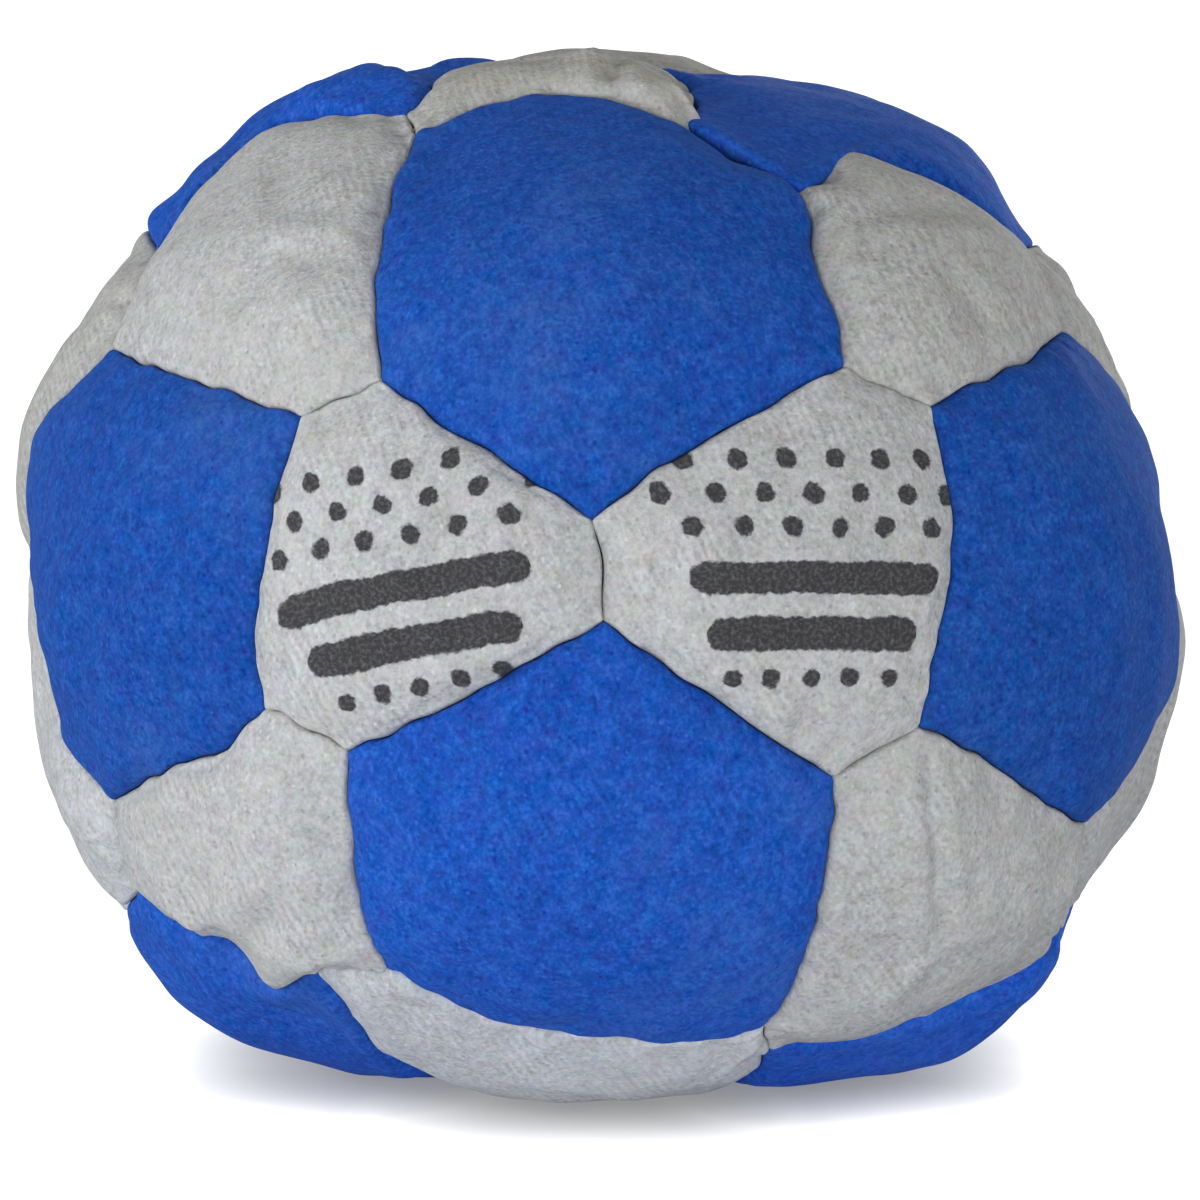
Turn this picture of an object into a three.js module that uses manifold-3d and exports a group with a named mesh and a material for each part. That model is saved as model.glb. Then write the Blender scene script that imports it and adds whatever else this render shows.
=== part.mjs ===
// A footbag: twelve blue and twenty grey suede panels, sewn edge to edge with turned-in
// seam allowances, a length of thread round each blue panel, and loose sand inside.
// Millimetres, +Z up. The bag rests on Z = 0 at the middle of its footprint, its front faces -Y.

import * as THREE from "three";
import { mergeVertices } from "three/addons/utils/BufferGeometryUtils.js";
import Module from "manifold-3d";

// Driving sizes of the stuffed bag
const bagWidth = 51;
const bagHeight = 45;
const panelCrown = 0.9;
const restFlatDepth = 0.5;

// Suede and its turned-in edges
const suedeThickness = 0.8;
const foldRadius = 0.1;
const seamAllowance = 2.6;

// Thread and filling
const threadDiameter = 0.4;
const threadClearance = 0.1;
const threadEndGap = 0.3;
const sandClearance = 0.3;
const sandLevelShare = 0.6;

// Shape of the stuffed bag: 2 is an ellipse, and more is boxier
const upperPower = 2.1;
const lowerPower = 2.7;

// A blue panel's corners lie this far round from its middle, and the front leans back by the tilt
const blueCornerAngle = THREE.MathUtils.degToRad(26.8);
const patternTilt = THREE.MathUtils.degToRad(8);

// A panel that faces the floor is pressed flat: its crown falls to the share from the press level on
const floorCrownShare = 0.25;
const pressLevelShare = 0.62;

// How finely the solids are divided
const longSeamSteps = 4;
const shortSeamSteps = 1;
const outerRingShares = [0.42, 0.76];
const innerRingShare = 0.62;

const golden = (1 + Math.sqrt(5)) / 2;

// Middles of the blue panels: right, up and towards the viewer, before the tilt.
// They are sewn in this order, so the last is the one that closes the bag.
const bluePlaces = {
  front_top: [0, 1, golden],
  front_bottom: [0, -1, golden],
  left_front: [-golden, 0, 1],
  right_front: [golden, 0, 1],
  top_left: [-1, golden, 0],
  top_right: [1, golden, 0],
  bottom_left: [-1, -golden, 0],
  bottom_right: [1, -golden, 0],
  left_back: [-golden, 0, -1],
  right_back: [golden, 0, -1],
  back_bottom: [0, -1, -golden],
  back_top: [0, 1, -golden],
};

// The three blue panels round each grey one
const greyPlaces = {
  front_left: ["front_top", "front_bottom", "left_front"],
  front_right: ["front_top", "front_bottom", "right_front"],
  front_upper_left: ["front_top", "left_front", "top_left"],
  front_upper_right: ["front_top", "right_front", "top_right"],
  front_lower_left: ["front_bottom", "left_front", "bottom_left"],
  front_lower_right: ["front_bottom", "right_front", "bottom_right"],
  top_front: ["front_top", "top_left", "top_right"],
  top_back: ["back_top", "top_left", "top_right"],
  bottom_front: ["front_bottom", "bottom_left", "bottom_right"],
  bottom_back: ["back_bottom", "bottom_left", "bottom_right"],
  left_upper: ["left_front", "left_back", "top_left"],
  left_lower: ["left_front", "left_back", "bottom_left"],
  right_upper: ["right_front", "right_back", "top_right"],
  right_lower: ["right_front", "right_back", "bottom_right"],
  back_left: ["back_top", "back_bottom", "left_back"],
  back_right: ["back_top", "back_bottom", "right_back"],
  back_upper_left: ["back_top", "left_back", "top_left"],
  back_upper_right: ["back_top", "right_back", "top_right"],
  back_lower_left: ["back_bottom", "left_back", "bottom_left"],
  back_lower_right: ["back_bottom", "right_back", "bottom_right"],
};

// Hand sewing moves a corner from its regular place, to the right and up along the skin, by
// shares of the bag's width. A corner is named by its blue panel and the one that it points at.
const cornerShiftShares = {
  "front_top to front_bottom": [-0.015, 0.005],
  "front_bottom to front_top": [-0.005, 0.01],
  "front_top to left_front": [0.03, -0.015],
  "left_front to front_top": [0.035, 0],
  "front_top to right_front": [-0.015, 0],
  "right_front to front_top": [-0.015, 0.01],
  "front_bottom to left_front": [0.005, 0.035],
  "left_front to front_bottom": [0.005, 0.025],
  "front_bottom to right_front": [-0.035, 0.015],
  "right_front to front_bottom": [-0.04, 0.01],
  "front_top to top_left": [-0.055, 0.005],
  "top_left to front_top": [-0.02, 0],
  "front_top to top_right": [-0.015, -0.035],
  "top_right to front_top": [-0.03, -0.01],
  "front_bottom to bottom_left": [-0.035, 0.06],
  "bottom_left to front_bottom": [-0.035, 0.06],
  "front_bottom to bottom_right": [-0.01, 0.03],
  "bottom_right to front_bottom": [-0.045, 0.025],
  "left_front to top_left": [0.005, -0.03],
  "top_left to left_front": [0, -0.02],
  "left_front to bottom_left": [0.035, 0.025],
  "bottom_left to left_front": [0.03, 0.02],
  "right_front to top_right": [-0.02, 0],
  "top_right to right_front": [0, 0.005],
  "right_front to bottom_right": [-0.04, 0],
  "bottom_right to right_front": [-0.025, -0.015],
};

// Sand packs unevenly, so the skin stands out or sinks in, by a share of the bag's width, round
// these directions (right, towards the viewer and up), and fades over the spread.
const lumpShares = [
  { right: 0.94, towards: 0, up: 0.34, rise: -0.045, spread: THREE.MathUtils.degToRad(22) },
  { right: 0.42, towards: 0, up: 0.91, rise: -0.02, spread: THREE.MathUtils.degToRad(22) },
  { right: -0.96, towards: 0, up: -0.28, rise: -0.024, spread: THREE.MathUtils.degToRad(12) },
  { right: 0.92, towards: 0, up: -0.4, rise: -0.022, spread: THREE.MathUtils.degToRad(14) },
  { right: -0.45, towards: 0, up: 0.89, rise: 0.01, spread: THREE.MathUtils.degToRad(14) },
];

// A seam between a blue and a grey panel bows into the blue one by a share of the bag's width,
// or into the grey one where the share is negative.
const usualBowShare = 0.007;
const bowShares = {
  "front_top, front_left": 0.003,
  "front_top, front_right": 0.013,
  "front_top, front_upper_left": -0.015,
  "front_top, front_upper_right": -0.015,
  "front_top, top_front": -0.028,
  "front_bottom, front_left": 0.012,
  "front_bottom, front_right": 0.013,
  "front_bottom, front_lower_left": -0.003,
  "front_bottom, front_lower_right": -0.012,
  "front_bottom, bottom_front": -0.028,
  "left_front, front_left": 0.016,
  "left_front, front_lower_left": -0.006,
  "right_front, front_right": 0.02,
  "top_right, front_upper_right": 0.022,
};

const halfWidth = bagWidth / 2;
const floorCrown = panelCrown * floorCrownShare;
const halfHeight = (bagHeight + restFlatDepth - panelCrown - floorCrown) / 2;
const floorLevel = restFlatDepth - halfHeight - floorCrown;
const edgeRoll = suedeThickness + foldRadius;
const seamGap = threadDiameter + 2 * threadClearance;
const threadRadius = threadDiameter / 2;
const threadDepth = (edgeRoll + seamAllowance) / 2;
const sandLevel = bagHeight * sandLevelShare;
const up = new THREE.Vector3(0, 0, 1);
const right = new THREE.Vector3(1, 0, 0);

const wasm = await Module();
wasm.setup();

// Directions of the pattern, from the bag's middle. Their length of 1 stands for half the bag's
// width, so a share of the width counts twice on them.

const onUnit = (share) => 2 * share;

function tiltedDirection([x, y, towards]) {
  return new THREE.Vector3(x, -towards, y).normalize().applyAxisAngle(right, -patternTilt);
}

const blueMiddles = Object.fromEntries(
  Object.entries(bluePlaces).map(([place, spot]) => [place, tiltedDirection(spot)]),
);

function oppositePlace(place) {
  const away = blueMiddles[place].clone().negate();
  return Object.keys(bluePlaces).find((other) => blueMiddles[other].angleTo(away) < blueCornerAngle);
}

// The far side's corners shift as those opposite them on the near side do.
function cornerShift(place, towardsPlace) {
  const near = cornerShiftShares[`${place} to ${towardsPlace}`];
  if (near) return near;
  const [sideways, upwards] =
    cornerShiftShares[`${oppositePlace(place)} to ${oppositePlace(towardsPlace)}`] ?? [0, 0];
  return [sideways, -upwards];
}

// A corner of a blue panel, where the grey seam towards another blue panel starts
const corners = new Map();

function cornerOf(place, towardsPlace) {
  const key = `${place} to ${towardsPlace}`;
  if (!corners.has(key)) {
    const middle = blueMiddles[place];
    const axis = middle.clone().cross(blueMiddles[towardsPlace]).normalize();
    const direction = middle.clone().applyAxisAngle(axis, blueCornerAngle);
    const eastwards = up.clone().cross(direction).normalize();
    const northwards = direction.clone().cross(eastwards);
    const [sideways, upwards] = cornerShift(place, towardsPlace).map(onUnit);
    direction.addScaledVector(eastwards, sideways).addScaledVector(northwards, upwards);
    corners.set(key, { key, place, towardsPlace, direction: direction.normalize() });
  }
  return corners.get(key);
}

// The far side's seams bow as those opposite them do.
function bowShare(bluePlace, greyPlace) {
  const farGrey = greyAmong(greyPlaces[greyPlace].map(oppositePlace));
  const near = bowShares[`${bluePlace}, ${greyPlace}`];
  const far = bowShares[`${oppositePlace(bluePlace)}, ${farGrey}`];
  return near ?? far ?? usualBowShare;
}

function greyAmong(places) {
  return Object.keys(greyPlaces).find((grey) =>
    places.every((place) => greyPlaces[grey].includes(place)),
  );
}

// A seam's directions from one corner to the next, made once for the two panels that share it.
// A long seam has both corners on one blue panel, and a short one joins two grey panels.
const seams = new Map();

function seamBetween(from, to) {
  const [first, last] = [from, to].sort((a, b) => (a.key < b.key ? -1 : 1));
  const key = `${first.key}, ${last.key}`;
  if (!seams.has(key)) {
    const { place } = first;
    const isLong = place === last.place;
    const steps = isLong ? longSeamSteps : shortSeamSteps;
    const grey = greyAmong([place, first.towardsPlace, last.towardsPlace]);
    const bow = isLong ? onUnit(bowShare(place, grey)) : 0;
    const chord = last.direction.clone().sub(first.direction).normalize();
    const across = blueMiddles[place].clone().projectOnPlane(chord).normalize();
    const line = Array.from({ length: steps + 1 }, (_, i) => {
      const along = i / steps;
      const point = first.direction.clone().lerp(last.direction, along);
      return point.addScaledVector(across, bow * 4 * along * (1 - along)).normalize();
    });
    seams.set(key, line);
  }
  const line = seams.get(key);
  return first === from ? line : line.slice().reverse();
}

// Points on the bag

function lumpRise(direction) {
  const rises = lumpShares.map(({ right: x, towards, up: z, rise, spread }) => {
    const angle = direction.angleTo(new THREE.Vector3(x, -towards, z));
    return rise * bagWidth * Math.exp(-((angle / spread) ** 2));
  });
  return rises.reduce((sum, rise) => sum + rise, 0);
}

function seamRadius(direction) {
  const flat = Math.hypot(direction.x, direction.y) / halfWidth;
  const tall = Math.abs(direction.z) / halfHeight;
  const power = direction.z < 0 ? lowerPower : upperPower;
  return (flat ** power + tall ** power) ** (-1 / power) + lumpRise(direction);
}

// The floor lifts whatever would reach below it, with all that lies behind the skin there.
function onBag(direction, rise, depth) {
  const skin = direction.clone().multiplyScalar(seamRadius(direction) + rise);
  const lift = Math.max(0, floorLevel - skin.z);
  return skin.addScaledVector(direction, -depth).addScaledVector(up, lift);
}

function crownFor(direction) {
  const press = THREE.MathUtils.smoothstep(-direction.z, pressLevelShare, 1);
  return THREE.MathUtils.lerp(panelCrown, floorCrown, press);
}

// A panel: the ring of seam points round it, counter-clockwise from outside, each with the
// direction in the skin that points into the panel.
function makePanel(place, panelCorners) {
  const ring = panelCorners.flatMap((corner, k) => {
    const next = panelCorners[(k + 1) % panelCorners.length];
    return seamBetween(corner, next).slice(0, -1);
  });
  const middle = new THREE.Vector3();
  panelCorners.forEach((corner) => middle.add(corner.direction));
  middle.normalize();
  const inwards = ring.map((direction, k) => {
    const before = ring.at(k - 1);
    const after = ring[(k + 1) % ring.length];
    const fromBefore = direction.clone().cross(direction.clone().sub(before)).normalize();
    const toAfter = direction.clone().cross(after.clone().sub(direction)).normalize();
    return fromBefore.clone().add(toAfter).divideScalar(1 + fromBefore.dot(toAfter));
  });
  return { place, ring, inwards, middle, crown: crownFor(middle) };
}

// Seam points moved into the panel by the inset, and below the skin by the depth
function edgeRing(panel, inset, depth) {
  return panel.ring.map((direction, k) =>
    onBag(direction, 0, depth).addScaledVector(panel.inwards[k], inset),
  );
}

// A ring on the crowned skin: share 1 is where the skin rolls over into the seam
function crownRing(panel, share, depth) {
  const roll = seamGap / 2 + edgeRoll;
  return panel.ring.map((direction, k) => {
    const edge = direction.clone().addScaledVector(panel.inwards[k], roll / seamRadius(direction));
    const spot = panel.middle.clone().lerp(edge.normalize(), share).normalize();
    return onBag(spot, panel.crown * (1 - share ** 2), depth);
  });
}

// Triangles and solids

function facesToGeometry(faces) {
  const geometry = new THREE.BufferGeometry().setFromPoints(faces.flat());
  return mergeVertices(geometry);
}

function bandFaces(ring, next) {
  return ring.flatMap((point, k) => {
    const after = (k + 1) % ring.length;
    return [
      [point, next[k], next[after]],
      [point, next[after], ring[after]],
    ];
  });
}

function fanFaces(pole, ring) {
  return ring.map((point, k) => [pole, point, ring[(k + 1) % ring.length]]);
}

function flipped(faces) {
  return faces.map(([a, b, c]) => [a, c, b]);
}

// One closed skin from a pole, out through the rings and back to the other pole
function skinGeometry(pole, rings, farPole) {
  const bands = rings.slice(1).flatMap((ring, k) => bandFaces(rings[k], ring));
  return facesToGeometry([
    ...fanFaces(pole, rings[0]),
    ...bands,
    ...flipped(fanFaces(farPole, rings.at(-1))),
  ]);
}

function toSolid(geometry) {
  const { position } = geometry.attributes;
  return new wasm.Manifold(
    new wasm.Mesh({
      numProp: 3,
      vertProperties: new Float32Array(position.array),
      triVerts: new Uint32Array(geometry.index.array),
    }),
  );
}

function fromSolid(solid) {
  const { vertProperties, triVerts } = solid.getMesh();
  const geometry = new THREE.BufferGeometry();
  geometry.setAttribute("position", new THREE.BufferAttribute(new Float32Array(vertProperties), 3));
  return geometry.setIndex(new THREE.BufferAttribute(new Uint32Array(triVerts), 1));
}

// A suede panel: crowned skin, rolled edge, and the seam allowance turned in all round
function panelGeometry(panel) {
  const outerInset = seamGap / 2;
  const innerInset = outerInset + suedeThickness;
  const outside = [...outerRingShares, 1].map((share) => crownRing(panel, share, 0));
  return skinGeometry(
    onBag(panel.middle, panel.crown, 0),
    [
      ...outside,
      edgeRing(panel, outerInset, edgeRoll),
      edgeRing(panel, outerInset, seamAllowance),
      edgeRing(panel, innerInset, seamAllowance),
      edgeRing(panel, innerInset, edgeRoll),
      crownRing(panel, innerRingShare, suedeThickness),
    ],
    onBag(panel.middle, panel.crown, suedeThickness),
  );
}

// Thread of square section, one corner up: the four points round each place on its line
function threadSection(direction, sideways) {
  const centre = onBag(direction, 0, threadDepth);
  return [
    centre.clone().addScaledVector(direction, threadRadius),
    centre.clone().addScaledVector(sideways, threadRadius),
    centre.clone().addScaledVector(direction, -threadRadius),
    centre.clone().addScaledVector(sideways, -threadRadius),
  ];
}

function threadLoop(panel) {
  const sections = panel.ring.map((direction, k) => threadSection(direction, panel.inwards[k]));
  const faces = sections.flatMap((section, k) =>
    bandFaces(section, sections[(k + 1) % sections.length]),
  );
  return toSolid(facesToGeometry(faces));
}

// The thread runs on from a corner of its loop along a seam between two grey panels.
function threadSpur(place, towardsPlace) {
  const start = cornerOf(place, towardsPlace).direction;
  const end = cornerOf(towardsPlace, place).direction;
  const length = start.angleTo(end) * seamRadius(start);
  const sideways = start.clone().cross(end).normalize();
  const stop = start.clone().lerp(end, 1 - (threadDiameter + threadEndGap) / length).normalize();
  const [near, far] = [start, stop].map((direction) => threadSection(direction, sideways));
  const faces = [
    ...bandFaces(near, far),
    [near[0], near[1], near[2]],
    [near[0], near[2], near[3]],
    [far[0], far[2], far[1]],
    [far[0], far[3], far[2]],
  ];
  return toSolid(facesToGeometry(faces));
}

// Sand: it lies against the skins, runs between the turned-in edges, and is level on top
function sandGeometry(panels) {
  const reach = seamGap / 2 + suedeThickness + sandClearance;
  const faces = panels.flatMap((panel) => {
    const skinDepth = suedeThickness + sandClearance;
    const below = seamAllowance + sandClearance;
    const rings = [
      crownRing(panel, innerRingShare, skinDepth),
      edgeRing(panel, reach, edgeRoll + sandClearance),
      edgeRing(panel, reach, below),
      edgeRing(panel, 0, below),
    ];
    const bands = rings.slice(1).flatMap((ring, k) => bandFaces(rings[k], ring));
    return [...fanFaces(onBag(panel.middle, panel.crown, skinDepth), rings[0]), ...bands];
  });
  const levelBox = new THREE.BoxGeometry(2 * bagWidth, 2 * bagWidth, 2 * sandLevel);
  levelBox.translate(0, 0, floorLevel);
  levelBox.deleteAttribute("normal");
  levelBox.deleteAttribute("uv");
  return fromSolid(toSolid(facesToGeometry(faces)).intersect(toSolid(mergeVertices(levelBox))));
}

// The pattern's panels

function neighboursOf(place) {
  const middle = blueMiddles[place];
  const isNear = (other) => other !== place && blueMiddles[other].dot(middle) > 0;
  const near = Object.keys(bluePlaces).filter(isNear);
  const across = blueMiddles[near[0]].clone().projectOnPlane(middle).normalize();
  const upwards = middle.clone().cross(across);
  const turn = (other) => Math.atan2(blueMiddles[other].dot(upwards), blueMiddles[other].dot(across));
  return near.sort((a, b) => turn(a) - turn(b));
}

function bluePanel(place) {
  return makePanel(place, neighboursOf(place).map((other) => cornerOf(place, other)));
}

function greyPanel(place) {
  const [a, b, c] = greyPlaces[place].map((name) => blueMiddles[name]);
  const turnsLeft = a.clone().cross(b).dot(c) > 0;
  const round = turnsLeft ? greyPlaces[place] : greyPlaces[place].slice().reverse();
  const panelCorners = round.flatMap((name, k) => {
    const next = round[(k + 1) % round.length];
    return [cornerOf(name, next), cornerOf(next, name)];
  });
  return makePanel(place, panelCorners);
}

// The scene graph

const suede = { roughness: 0.95, metalness: 0 };
const blueSuede = new THREE.MeshStandardMaterial({ ...suede, color: 0x1f53ab });
const greySuede = new THREE.MeshStandardMaterial({ ...suede, color: 0xb4b3b0 });
const threadFinish = new THREE.MeshStandardMaterial({ ...suede, color: 0x2b2f3a });
const sandFinish = new THREE.MeshStandardMaterial({ ...suede, color: 0xb89f78 });

const bag = new THREE.Group();

function addPiece(name, geometry, material) {
  const piece = new THREE.Mesh(geometry, material);
  piece.name = name;
  bag.add(piece);
}

const bluePanels = Object.keys(bluePlaces).map(bluePanel);
const greyPanels = Object.keys(greyPlaces).map(greyPanel);
bluePanels.forEach((panel) => addPiece(`blue_panel_${panel.place}`, panelGeometry(panel), blueSuede));
greyPanels.forEach((panel) => addPiece(`grey_panel_${panel.place}`, panelGeometry(panel), greySuede));

// Each length of thread sews one blue panel in, and the grey seams at its corners not yet sewn.
const sewingOrder = Object.keys(bluePlaces);
bluePanels.forEach((panel, turn) => {
  const unsewn = neighboursOf(panel.place).filter((other) => sewingOrder.indexOf(other) > turn);
  const spurs = unsewn.map((other) => threadSpur(panel.place, other));
  const length = spurs.reduce((whole, spur) => whole.add(spur), threadLoop(panel));
  const isLast = turn === sewingOrder.length - 1;
  const name = isLast ? "closing_thread" : `thread_round_${panel.place}`;
  addPiece(name, fromSolid(length), threadFinish);
});

addPiece("sand_fill", sandGeometry([...bluePanels, ...greyPanels]), sandFinish);

// The middle of the footprint, on the flat that the bag rests on, is the origin.
const extent = new THREE.Box3().setFromObject(bag, true);
const centre = extent.getCenter(new THREE.Vector3());
bag.position.set(-centre.x, -centre.y, -extent.min.z);

export default bag;
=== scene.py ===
"""A sewn footbag: thirty-two suede panels, the thread that joins them and the sand inside."""

from __future__ import annotations

import logging
import math
from dataclasses import dataclass, field
from enum import Enum
from typing import ClassVar

import bmesh
import bpy
import numpy as np
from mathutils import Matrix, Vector
from mathutils.kdtree import KDTree


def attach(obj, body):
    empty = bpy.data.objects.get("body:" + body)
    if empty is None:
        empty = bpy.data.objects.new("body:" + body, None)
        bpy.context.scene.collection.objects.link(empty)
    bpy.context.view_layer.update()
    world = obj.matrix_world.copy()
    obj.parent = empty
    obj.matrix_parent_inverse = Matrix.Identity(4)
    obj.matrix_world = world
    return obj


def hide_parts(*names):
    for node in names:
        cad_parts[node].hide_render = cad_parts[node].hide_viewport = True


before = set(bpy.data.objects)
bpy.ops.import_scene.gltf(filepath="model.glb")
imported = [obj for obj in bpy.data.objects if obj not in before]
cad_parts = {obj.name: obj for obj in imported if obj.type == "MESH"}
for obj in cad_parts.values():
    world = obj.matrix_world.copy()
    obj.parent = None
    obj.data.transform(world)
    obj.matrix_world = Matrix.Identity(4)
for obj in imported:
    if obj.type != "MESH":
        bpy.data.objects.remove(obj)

LOG = logging.getLogger("footbag")
MM = 0.001
BODY = "root"
SAND_NODE = "sand_fill"
CLOSING_THREAD = "closing_thread"
LAST_SEWN = "back_top"
WELD = 0.002 * MM
RUN_STEPS = 24


class Suede(Enum):
    """The two suedes that the bag is cut from, by the first word of their panels' names."""

    BLUE = "blue"
    GREY = "grey"

    @property
    def slot(self) -> str:
        """The record's material slot of this suede."""
        return f"{self.value}_suede"

    @property
    def sides(self) -> int:
        """How many sides a panel of this suede has."""
        return 5 if self is Suede.BLUE else 6


def unit(vectors: np.ndarray) -> np.ndarray:
    """Vectors scaled to a length of one, along their last axis."""
    return vectors / np.maximum(np.linalg.norm(vectors, axis=-1, keepdims=True), 1e-12)


def fade(distance: np.ndarray, reach: float) -> np.ndarray:
    """A smooth fall from one at no distance to nought at the reach."""
    share = np.clip(1.0 - distance / reach, 0.0, 1.0)
    return share * share * (3.0 - 2.0 * share)


def smooth_run(points: np.ndarray, shares: np.ndarray) -> np.ndarray:
    """Points on a smooth open curve.

    Args:
        points: The points that the curve passes, one to a row.
        shares: The wanted places along it, as rising shares of its length.

    Returns:
        One point of the curve for each share.
    """
    ends = np.vstack([2 * points[0] - points[1], points, 2 * points[-1] - points[-2]])
    fine = []
    for k in range(1, len(ends) - 2):
        before, start, end, after = ends[k - 1 : k + 3]
        t = np.linspace(0.0, 1.0, RUN_STEPS, endpoint=False)[:, None]
        fine.append(
            0.5
            * (
                2 * start
                + (end - before) * t
                + (2 * before - 5 * start + 4 * end - after) * t**2
                + (3 * start - before - 3 * end + after) * t**3
            )
        )
    run = np.vstack([*fine, points[-1:]])
    walked = np.concatenate([[0.0], np.cumsum(np.linalg.norm(np.diff(run, axis=0), axis=1))])
    marks = np.asarray(shares) * walked[-1]
    return np.column_stack([np.interp(marks, walked, run[:, k]) for k in range(3)])


def positions_of(piece: bpy.types.Object) -> np.ndarray:
    """Reads where a mesh piece's vertices are.

    Args:
        piece: The mesh piece.

    Returns:
        One place to a row.
    """
    places = np.empty(len(piece.data.vertices) * 3)
    piece.data.vertices.foreach_get("co", places)
    return places.reshape(-1, 3)


def move_to(piece: bpy.types.Object, places: np.ndarray) -> None:
    """Puts a mesh piece's vertices at new places, one to a row."""
    piece.data.vertices.foreach_set("co", np.ascontiguousarray(places).ravel())
    piece.data.update()


def keep_values(piece: bpy.types.Object, name: str, values: np.ndarray) -> None:
    """Keeps a number, or a vector, at each vertex of a piece for its material to read.

    Args:
        piece: The mesh piece.
        name: The attribute's name.
        values: One number for each vertex, or one row of three.
    """
    kind, key = ("FLOAT", "value") if values.ndim == 1 else ("FLOAT_VECTOR", "vector")
    kept = piece.data.attributes.new(name, kind, "POINT")
    kept.data.foreach_set(key, values.astype(np.float32).ravel())


def select_only(*pieces: bpy.types.Object) -> None:
    """Deselects everything, selects some pieces and makes the first one active.

    Args:
        pieces: The pieces to select.
    """
    if bpy.context.object and bpy.context.object.mode != "OBJECT":
        bpy.ops.object.mode_set(mode="OBJECT")
    bpy.ops.object.select_all(action="DESELECT")
    for piece in pieces:
        piece.select_set(True)
    bpy.context.view_layer.objects.active = pieces[0]


def apply_modifier(piece: bpy.types.Object, kind: str, **settings: object) -> None:
    """Adds a modifier with its settings to a piece and applies it.

    Args:
        piece: The mesh piece.
        kind: The modifier's type name.
        settings: Its settings, by their names in Blender.
    """
    select_only(piece)
    modifier = piece.modifiers.new(kind.title(), kind)
    for setting, value in settings.items():
        setattr(modifier, setting, value)
    bpy.ops.object.modifier_apply(modifier=modifier.name)


@dataclass(frozen=True)
class FilledForm:
    """The filled bag's smooth form, which says which way is up out of the bag at a seam."""

    middle: tuple[float, float, float] = (0.255 * MM, 0.116 * MM, 21.91 * MM)
    half_width: float = 25.5 * MM
    half_height: float = 22.3 * MM
    upper_power: float = 2.1
    lower_power: float = 2.7

    def up(self, points: np.ndarray) -> np.ndarray:
        """The directions that point straight out of the bag.

        Args:
            points: Places on or near the bag, one to a row.

        Returns:
            One direction of length one for each.
        """
        away = points - np.array(self.middle)
        level = np.linalg.norm(away[:, :2], axis=1)
        power = np.where(away[:, 2] < 0, self.lower_power, self.upper_power)
        flat = (level / self.half_width) ** (power - 1) / self.half_width
        tall = (np.abs(away[:, 2]) / self.half_height) ** (power - 1) / self.half_height
        out = away[:, :2] / np.maximum(level, 1e-9)[:, None] * flat[:, None]
        return unit(np.column_stack([out, np.sign(away[:, 2]) * tall]))


@dataclass
class Outline:
    """One panel's outline and crown, read from its CAD node.

    The loop runs along the folded edge, and the crown holds the points inside it. A face of
    the node belongs to the outer skin where it faces away from the bag's middle.
    """

    faces_out: ClassVar[float] = 0.35

    place: str
    suede: Suede
    node: str
    loop: np.ndarray
    crown: np.ndarray
    corners: list[int] = field(default_factory=list)
    junctions: list[int] = field(default_factory=list)

    @classmethod
    def read(cls, node: str, form: FilledForm) -> Outline:
        """Reads a panel's outer skin.

        Args:
            node: The CAD node's name, such as blue_panel_front_top.
            form: The filled bag's form.

        Returns:
            The outline, anticlockwise as seen from outside, with its corners found.
        """
        suede = Suede(node.split("_")[0])
        shape = bmesh.new()
        shape.from_mesh(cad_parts[node].data)
        bmesh.ops.remove_doubles(shape, verts=shape.verts, dist=WELD)
        shape.normal_update()
        middle = Vector(form.middle)
        outer = {
            face
            for face in shape.faces
            if face.normal.dot((face.calc_center_median() - middle).normalized()) > cls.faces_out
        }
        rim = [e for e in shape.edges if len(outer.intersection(e.link_faces)) == 1]
        on_rim = {vertex for edge in rim for vertex in edge.verts}
        inner = {vertex for face in outer for vertex in face.verts} - on_rim
        beside: dict = {}
        for edge in rim:
            first, second = edge.verts
            beside.setdefault(first, []).append(second)
            beside.setdefault(second, []).append(first)
        start = min(on_rim, key=lambda v: tuple(v.co))
        walk = [start, min(beside[start], key=lambda v: tuple(v.co))]
        while len(walk) < len(on_rim):
            walk.append(next(v for v in beside[walk[-1]] if v is not walk[-2]))
        loop = np.array([v.co for v in walk])
        crown = np.array(sorted(tuple(v.co) for v in inner))
        shape.free()
        spokes = loop - loop.mean(axis=0)
        turn = np.cross(spokes, np.roll(spokes, -1, axis=0)).sum(axis=0)
        if turn @ (loop.mean(axis=0) - np.array(form.middle)) < 0:
            loop = loop[::-1].copy()
        outline = cls(node.split("_panel_")[1], suede, node, loop, crown)
        outline.find_corners()
        return outline

    @property
    def place_key(self) -> str:
        """The panel's suede and place, which no other panel has."""
        return f"{self.suede.value}_{self.place}"

    def find_corners(self) -> None:
        """Marks the points where the loop turns most as the panel's corners."""
        before = unit(self.loop - np.roll(self.loop, 1, axis=0))
        after = unit(np.roll(self.loop, -1, axis=0) - self.loop)
        turning = np.einsum("ij,ij->i", before, after)
        self.corners = sorted(int(k) for k in np.argsort(turning)[: self.suede.sides])

    def side(self, number: int) -> np.ndarray:
        """The loop's points along one side.

        Args:
            number: The side's number, which is that of its first corner.

        Returns:
            The points from that corner to the next, both included.
        """
        first = self.corners[number]
        last = self.corners[(number + 1) % len(self.corners)]
        count = (last - first) % len(self.loop)
        return self.loop[[(first + k) % len(self.loop) for k in range(count + 1)]]


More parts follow.
